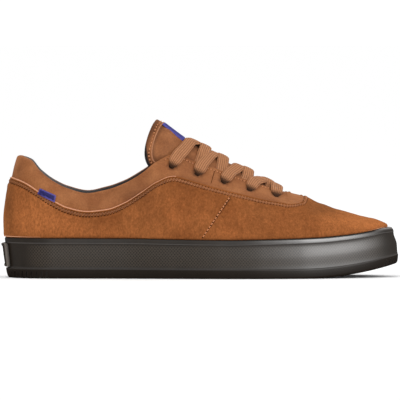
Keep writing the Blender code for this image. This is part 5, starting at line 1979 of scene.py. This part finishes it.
def make_insole(paint):
    """The sock liner, cupped at its edge and soft under the heel and ball."""
    around = 400
    shape = ((0.0, 0.0), (0.0, 0.55), (0.0004, 0.9), (0.0012, 1.0), (0.0026, 0.92), (0.005, 0.55),
             (0.0075, 0.2), (0.010, 0.0))
    points = np.zeros((around, len(shape), 3))
    for i in range(around):
        theta = 2.0 * math.pi * i / around
        for n, (inset, cup) in enumerate(shape):
            depth = cup_depth(theta, True) + 2.0 * FIT + WALL + inset
            points[i, n] = ring_point(theta, depth, cup_floor)
            points[i, n, 2] += FIT + (INSOLE_THICKNESS + INSOLE_CUP * cup if n else 0.0)
    index = np.arange(points.size // 3).reshape(points.shape[:2])
    faces = grid_faces(np.concatenate((index, index[:1]), axis=0))
    pairs = facing_pairs(index[:, -1])
    rows = 24
    verts = [points.reshape(-1, 3)]
    base = len(verts[0])
    table = np.repeat(pairs[:, :1], rows + 1, axis=1)
    table[:, -1] = pairs[:, 1]
    flat = verts[0]
    y = np.arange(1, rows) / rows
    bowl = 1.0 - (2.0 * y - 1.0) ** 2
    for i in range(1, len(pairs) - 1):
        a, b = flat[pairs[i]]
        line = a + (b - a) * y[:, None]
        x = line[:, 0] / SOLE_LENGTH
        line[:, 2] += -0.0009 * bowl * bell(x, 0.13, 0.09) - 0.0005 * bowl * bell(x, 0.70, 0.08)
        line[:, 2] += 0.0006 * bowl * bell(x, 0.42, 0.09)
        verts.append(line)
        table[i, 1:-1] = base + np.arange(rows - 1)
        base += rows - 1
    faces += [f for f in grid_faces(table[::-1]) if f is not None]
    faces.append(index[:, 0].tolist())
    thing = new_piece("insole_padded", np.concatenate(verts), faces, [paint])
    drop_loose(thing)
    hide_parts("insole")


def make_welt_line(paint):
    """The pale line where the suede meets the sole, at the heel and at the toe."""
    reach, count, up, out = 0.62, 160, 0.12, 0.0006
    lots = []
    for middle in (0.0, math.pi):
        thetas = np.linspace(middle - reach, middle + reach, count)
        normals = np.array([-inward(theta) for theta in thetas])
        low, top = (np.array([upper_foot(theta % (2.0 * math.pi), row) for theta in thetas])
                    for row in (2, 3))
        lots.append(strip(low + (top - low) * up + normals * out, normals, 0.0010, 0.0012, 0.0, 60))
    joined("welt_line", lots, [paint])


# Stage: each light's place, size, power and whether it lights matt surfaces, and the camera's
# lens and sensor in mm, its tilt in degrees and the width and middle of what it sees in metres

LIGHTS = (
    ("key", (-0.55, -0.95, 1.15), (1.0, 1.0), 3.5, True),
    ("right", (0.75, -1.30, 0.35), (0.30, 0.60), 5.0, True),
    ("top", (0.1, 0.35, 1.3), (1.2, 0.8), 2.5, True),
    ("strip", (1.05, -1.15, 0.45), (1.10, 0.40), 200.0, False),
)
LIT_SPOT = (0.0, 0.0, 0.05)
FLOOR_REACH = 14.0
SKY_STRENGTH = 1.11
LENS = 900.0
SENSOR = 36.0
TILT = 1.6
VIEW_WIDTH = 0.3019
VIEW_MIDDLE = (0.0001, 0.0, 0.0579)


def make_stage():
    """A wide pale floor, a white surround, soft lights and the camera."""
    mesh = bpy.data.meshes.new("floor")
    corners = [(FLOOR_REACH * a, FLOOR_REACH * b, 0.0) for a, b in ((-1, -1), (1, -1), (1, 1), (-1, 1))]
    mesh.from_pydata(corners, [], [(0, 1, 2, 3)])
    floor = bpy.data.objects.new("floor", mesh)
    paint = Paint("floor_pale", 0.9, 0.0)
    paint.colour((0.90, 0.90, 0.90))
    mesh.materials.append(paint.made)
    scene = bpy.context.scene
    scene.collection.objects.link(floor)
    scene.world = bpy.data.worlds.new("soft_world")
    scene.world.use_nodes = True
    sky = scene.world.node_tree.nodes["Background"]
    sky.inputs["Color"].default_value = (1.0, 1.0, 1.0, 1.0)
    sky.inputs["Strength"].default_value = SKY_STRENGTH
    for name, place, size, power, diffuse in LIGHTS:
        lamp = bpy.data.lights.new(name, "AREA")
        lamp.shape = "RECTANGLE"
        lamp.size, lamp.size_y = size
        lamp.energy = power
        thing = aimed(name, lamp, place, Vector(LIT_SPOT) - Vector(place))
        thing.visible_diffuse = diffuse
    eye = bpy.data.cameras.new("camera")
    eye.lens = LENS
    eye.sensor_width = SENSOR
    tilt = math.radians(TILT)
    back = Vector((0.0, -math.cos(tilt), math.sin(tilt)))
    far = VIEW_WIDTH * LENS / SENSOR
    scene.camera = aimed("camera", eye, Vector(VIEW_MIDDLE) + back * far, -back)
    scene.view_settings.view_transform = "Standard"


def aimed(name, data, place, way):
    """A lamp or camera at a place, facing along a direction."""
    thing = bpy.data.objects.new(name, data)
    thing.location = place
    thing.rotation_mode = "QUATERNION"
    thing.rotation_quaternion = way.to_track_quat("-Z", "Y")
    bpy.context.scene.collection.objects.link(thing)
    return thing


def main():
    suede = suede_paint()
    nubuck = nubuck_paint("nubuck_smooth", srgb(143, 92, 57), srgb(125, 76, 45), 0.00022)
    tongue_nubuck = nubuck_paint("nubuck_tongue", srgb(144, 93, 59), srgb(120, 74, 45), 0.00025)
    peach_edge = raw_edge_paint("edge_peach", srgb(206, 156, 126), srgb(184, 128, 96))
    tan_edge = raw_edge_paint("edge_tan", srgb(138, 84, 45), srgb(116, 66, 32))
    lining = lining_paint()
    peach = thread_paint("thread_peach", srgb(204, 142, 98), srgb(160, 98, 60))
    tan = thread_paint("thread_tan", srgb(150, 96, 58), srgb(104, 60, 32))
    edge_peach = thread_paint("thread_edge", srgb(164, 107, 67), srgb(124, 74, 41))
    ridge = thread_paint("ridge_tan", srgb(166, 114, 78), srgb(138, 88, 56))
    # Painted shade of the needle holes, for the pinhole dots
    holes = dark_paint("pinhole_shade", srgb(44, 20, 8))
    seam_dark = dark_paint("seam_dark", srgb(74, 40, 22))
    rubber = rubber_paint()
    lace = lace_paint()
    tag = label_paint("tag_woven", srgb(14, 14, 74), srgb(84, 76, 150))
    label = label_paint("label_woven", srgb(40, 37, 112), srgb(70, 66, 146))

    upper, outside = make_upper([suede, peach_edge, tan_edge, nubuck, lining])
    faces = [f for table in upper.index for f in grid_faces(table) if f is not None]
    flat = outside.reshape(-1, 3)
    tree = tree_of(flat, faces)
    make_edge_stitches(upper, outside, tree, tan, edge_peach, holes)
    make_seams(upper, outside, tree, peach, holes, seam_dark)
    make_bar_tacks(tree, edge_peach)
    make_tag(tree, tag)
    front, over = make_tongue(tongue_nubuck, lining, peach, holes, ridge)
    made = make_label(label)
    label_verts = [np.array(v.co) - SHIFT for v in made.data.vertices]
    label_faces = [list(p.vertices) for p in made.data.polygons]
    lots = [(list(flat), faces), (list(front.reshape(-1, 3)), grid_faces(over)),
            (label_verts, label_faces)]
    make_laces(lots, lace)
    make_outsole(rubber)
    make_insole(lining)
    make_welt_line(peach_edge)
    make_heel_plate(plate_paint())
    make_stage()


main()
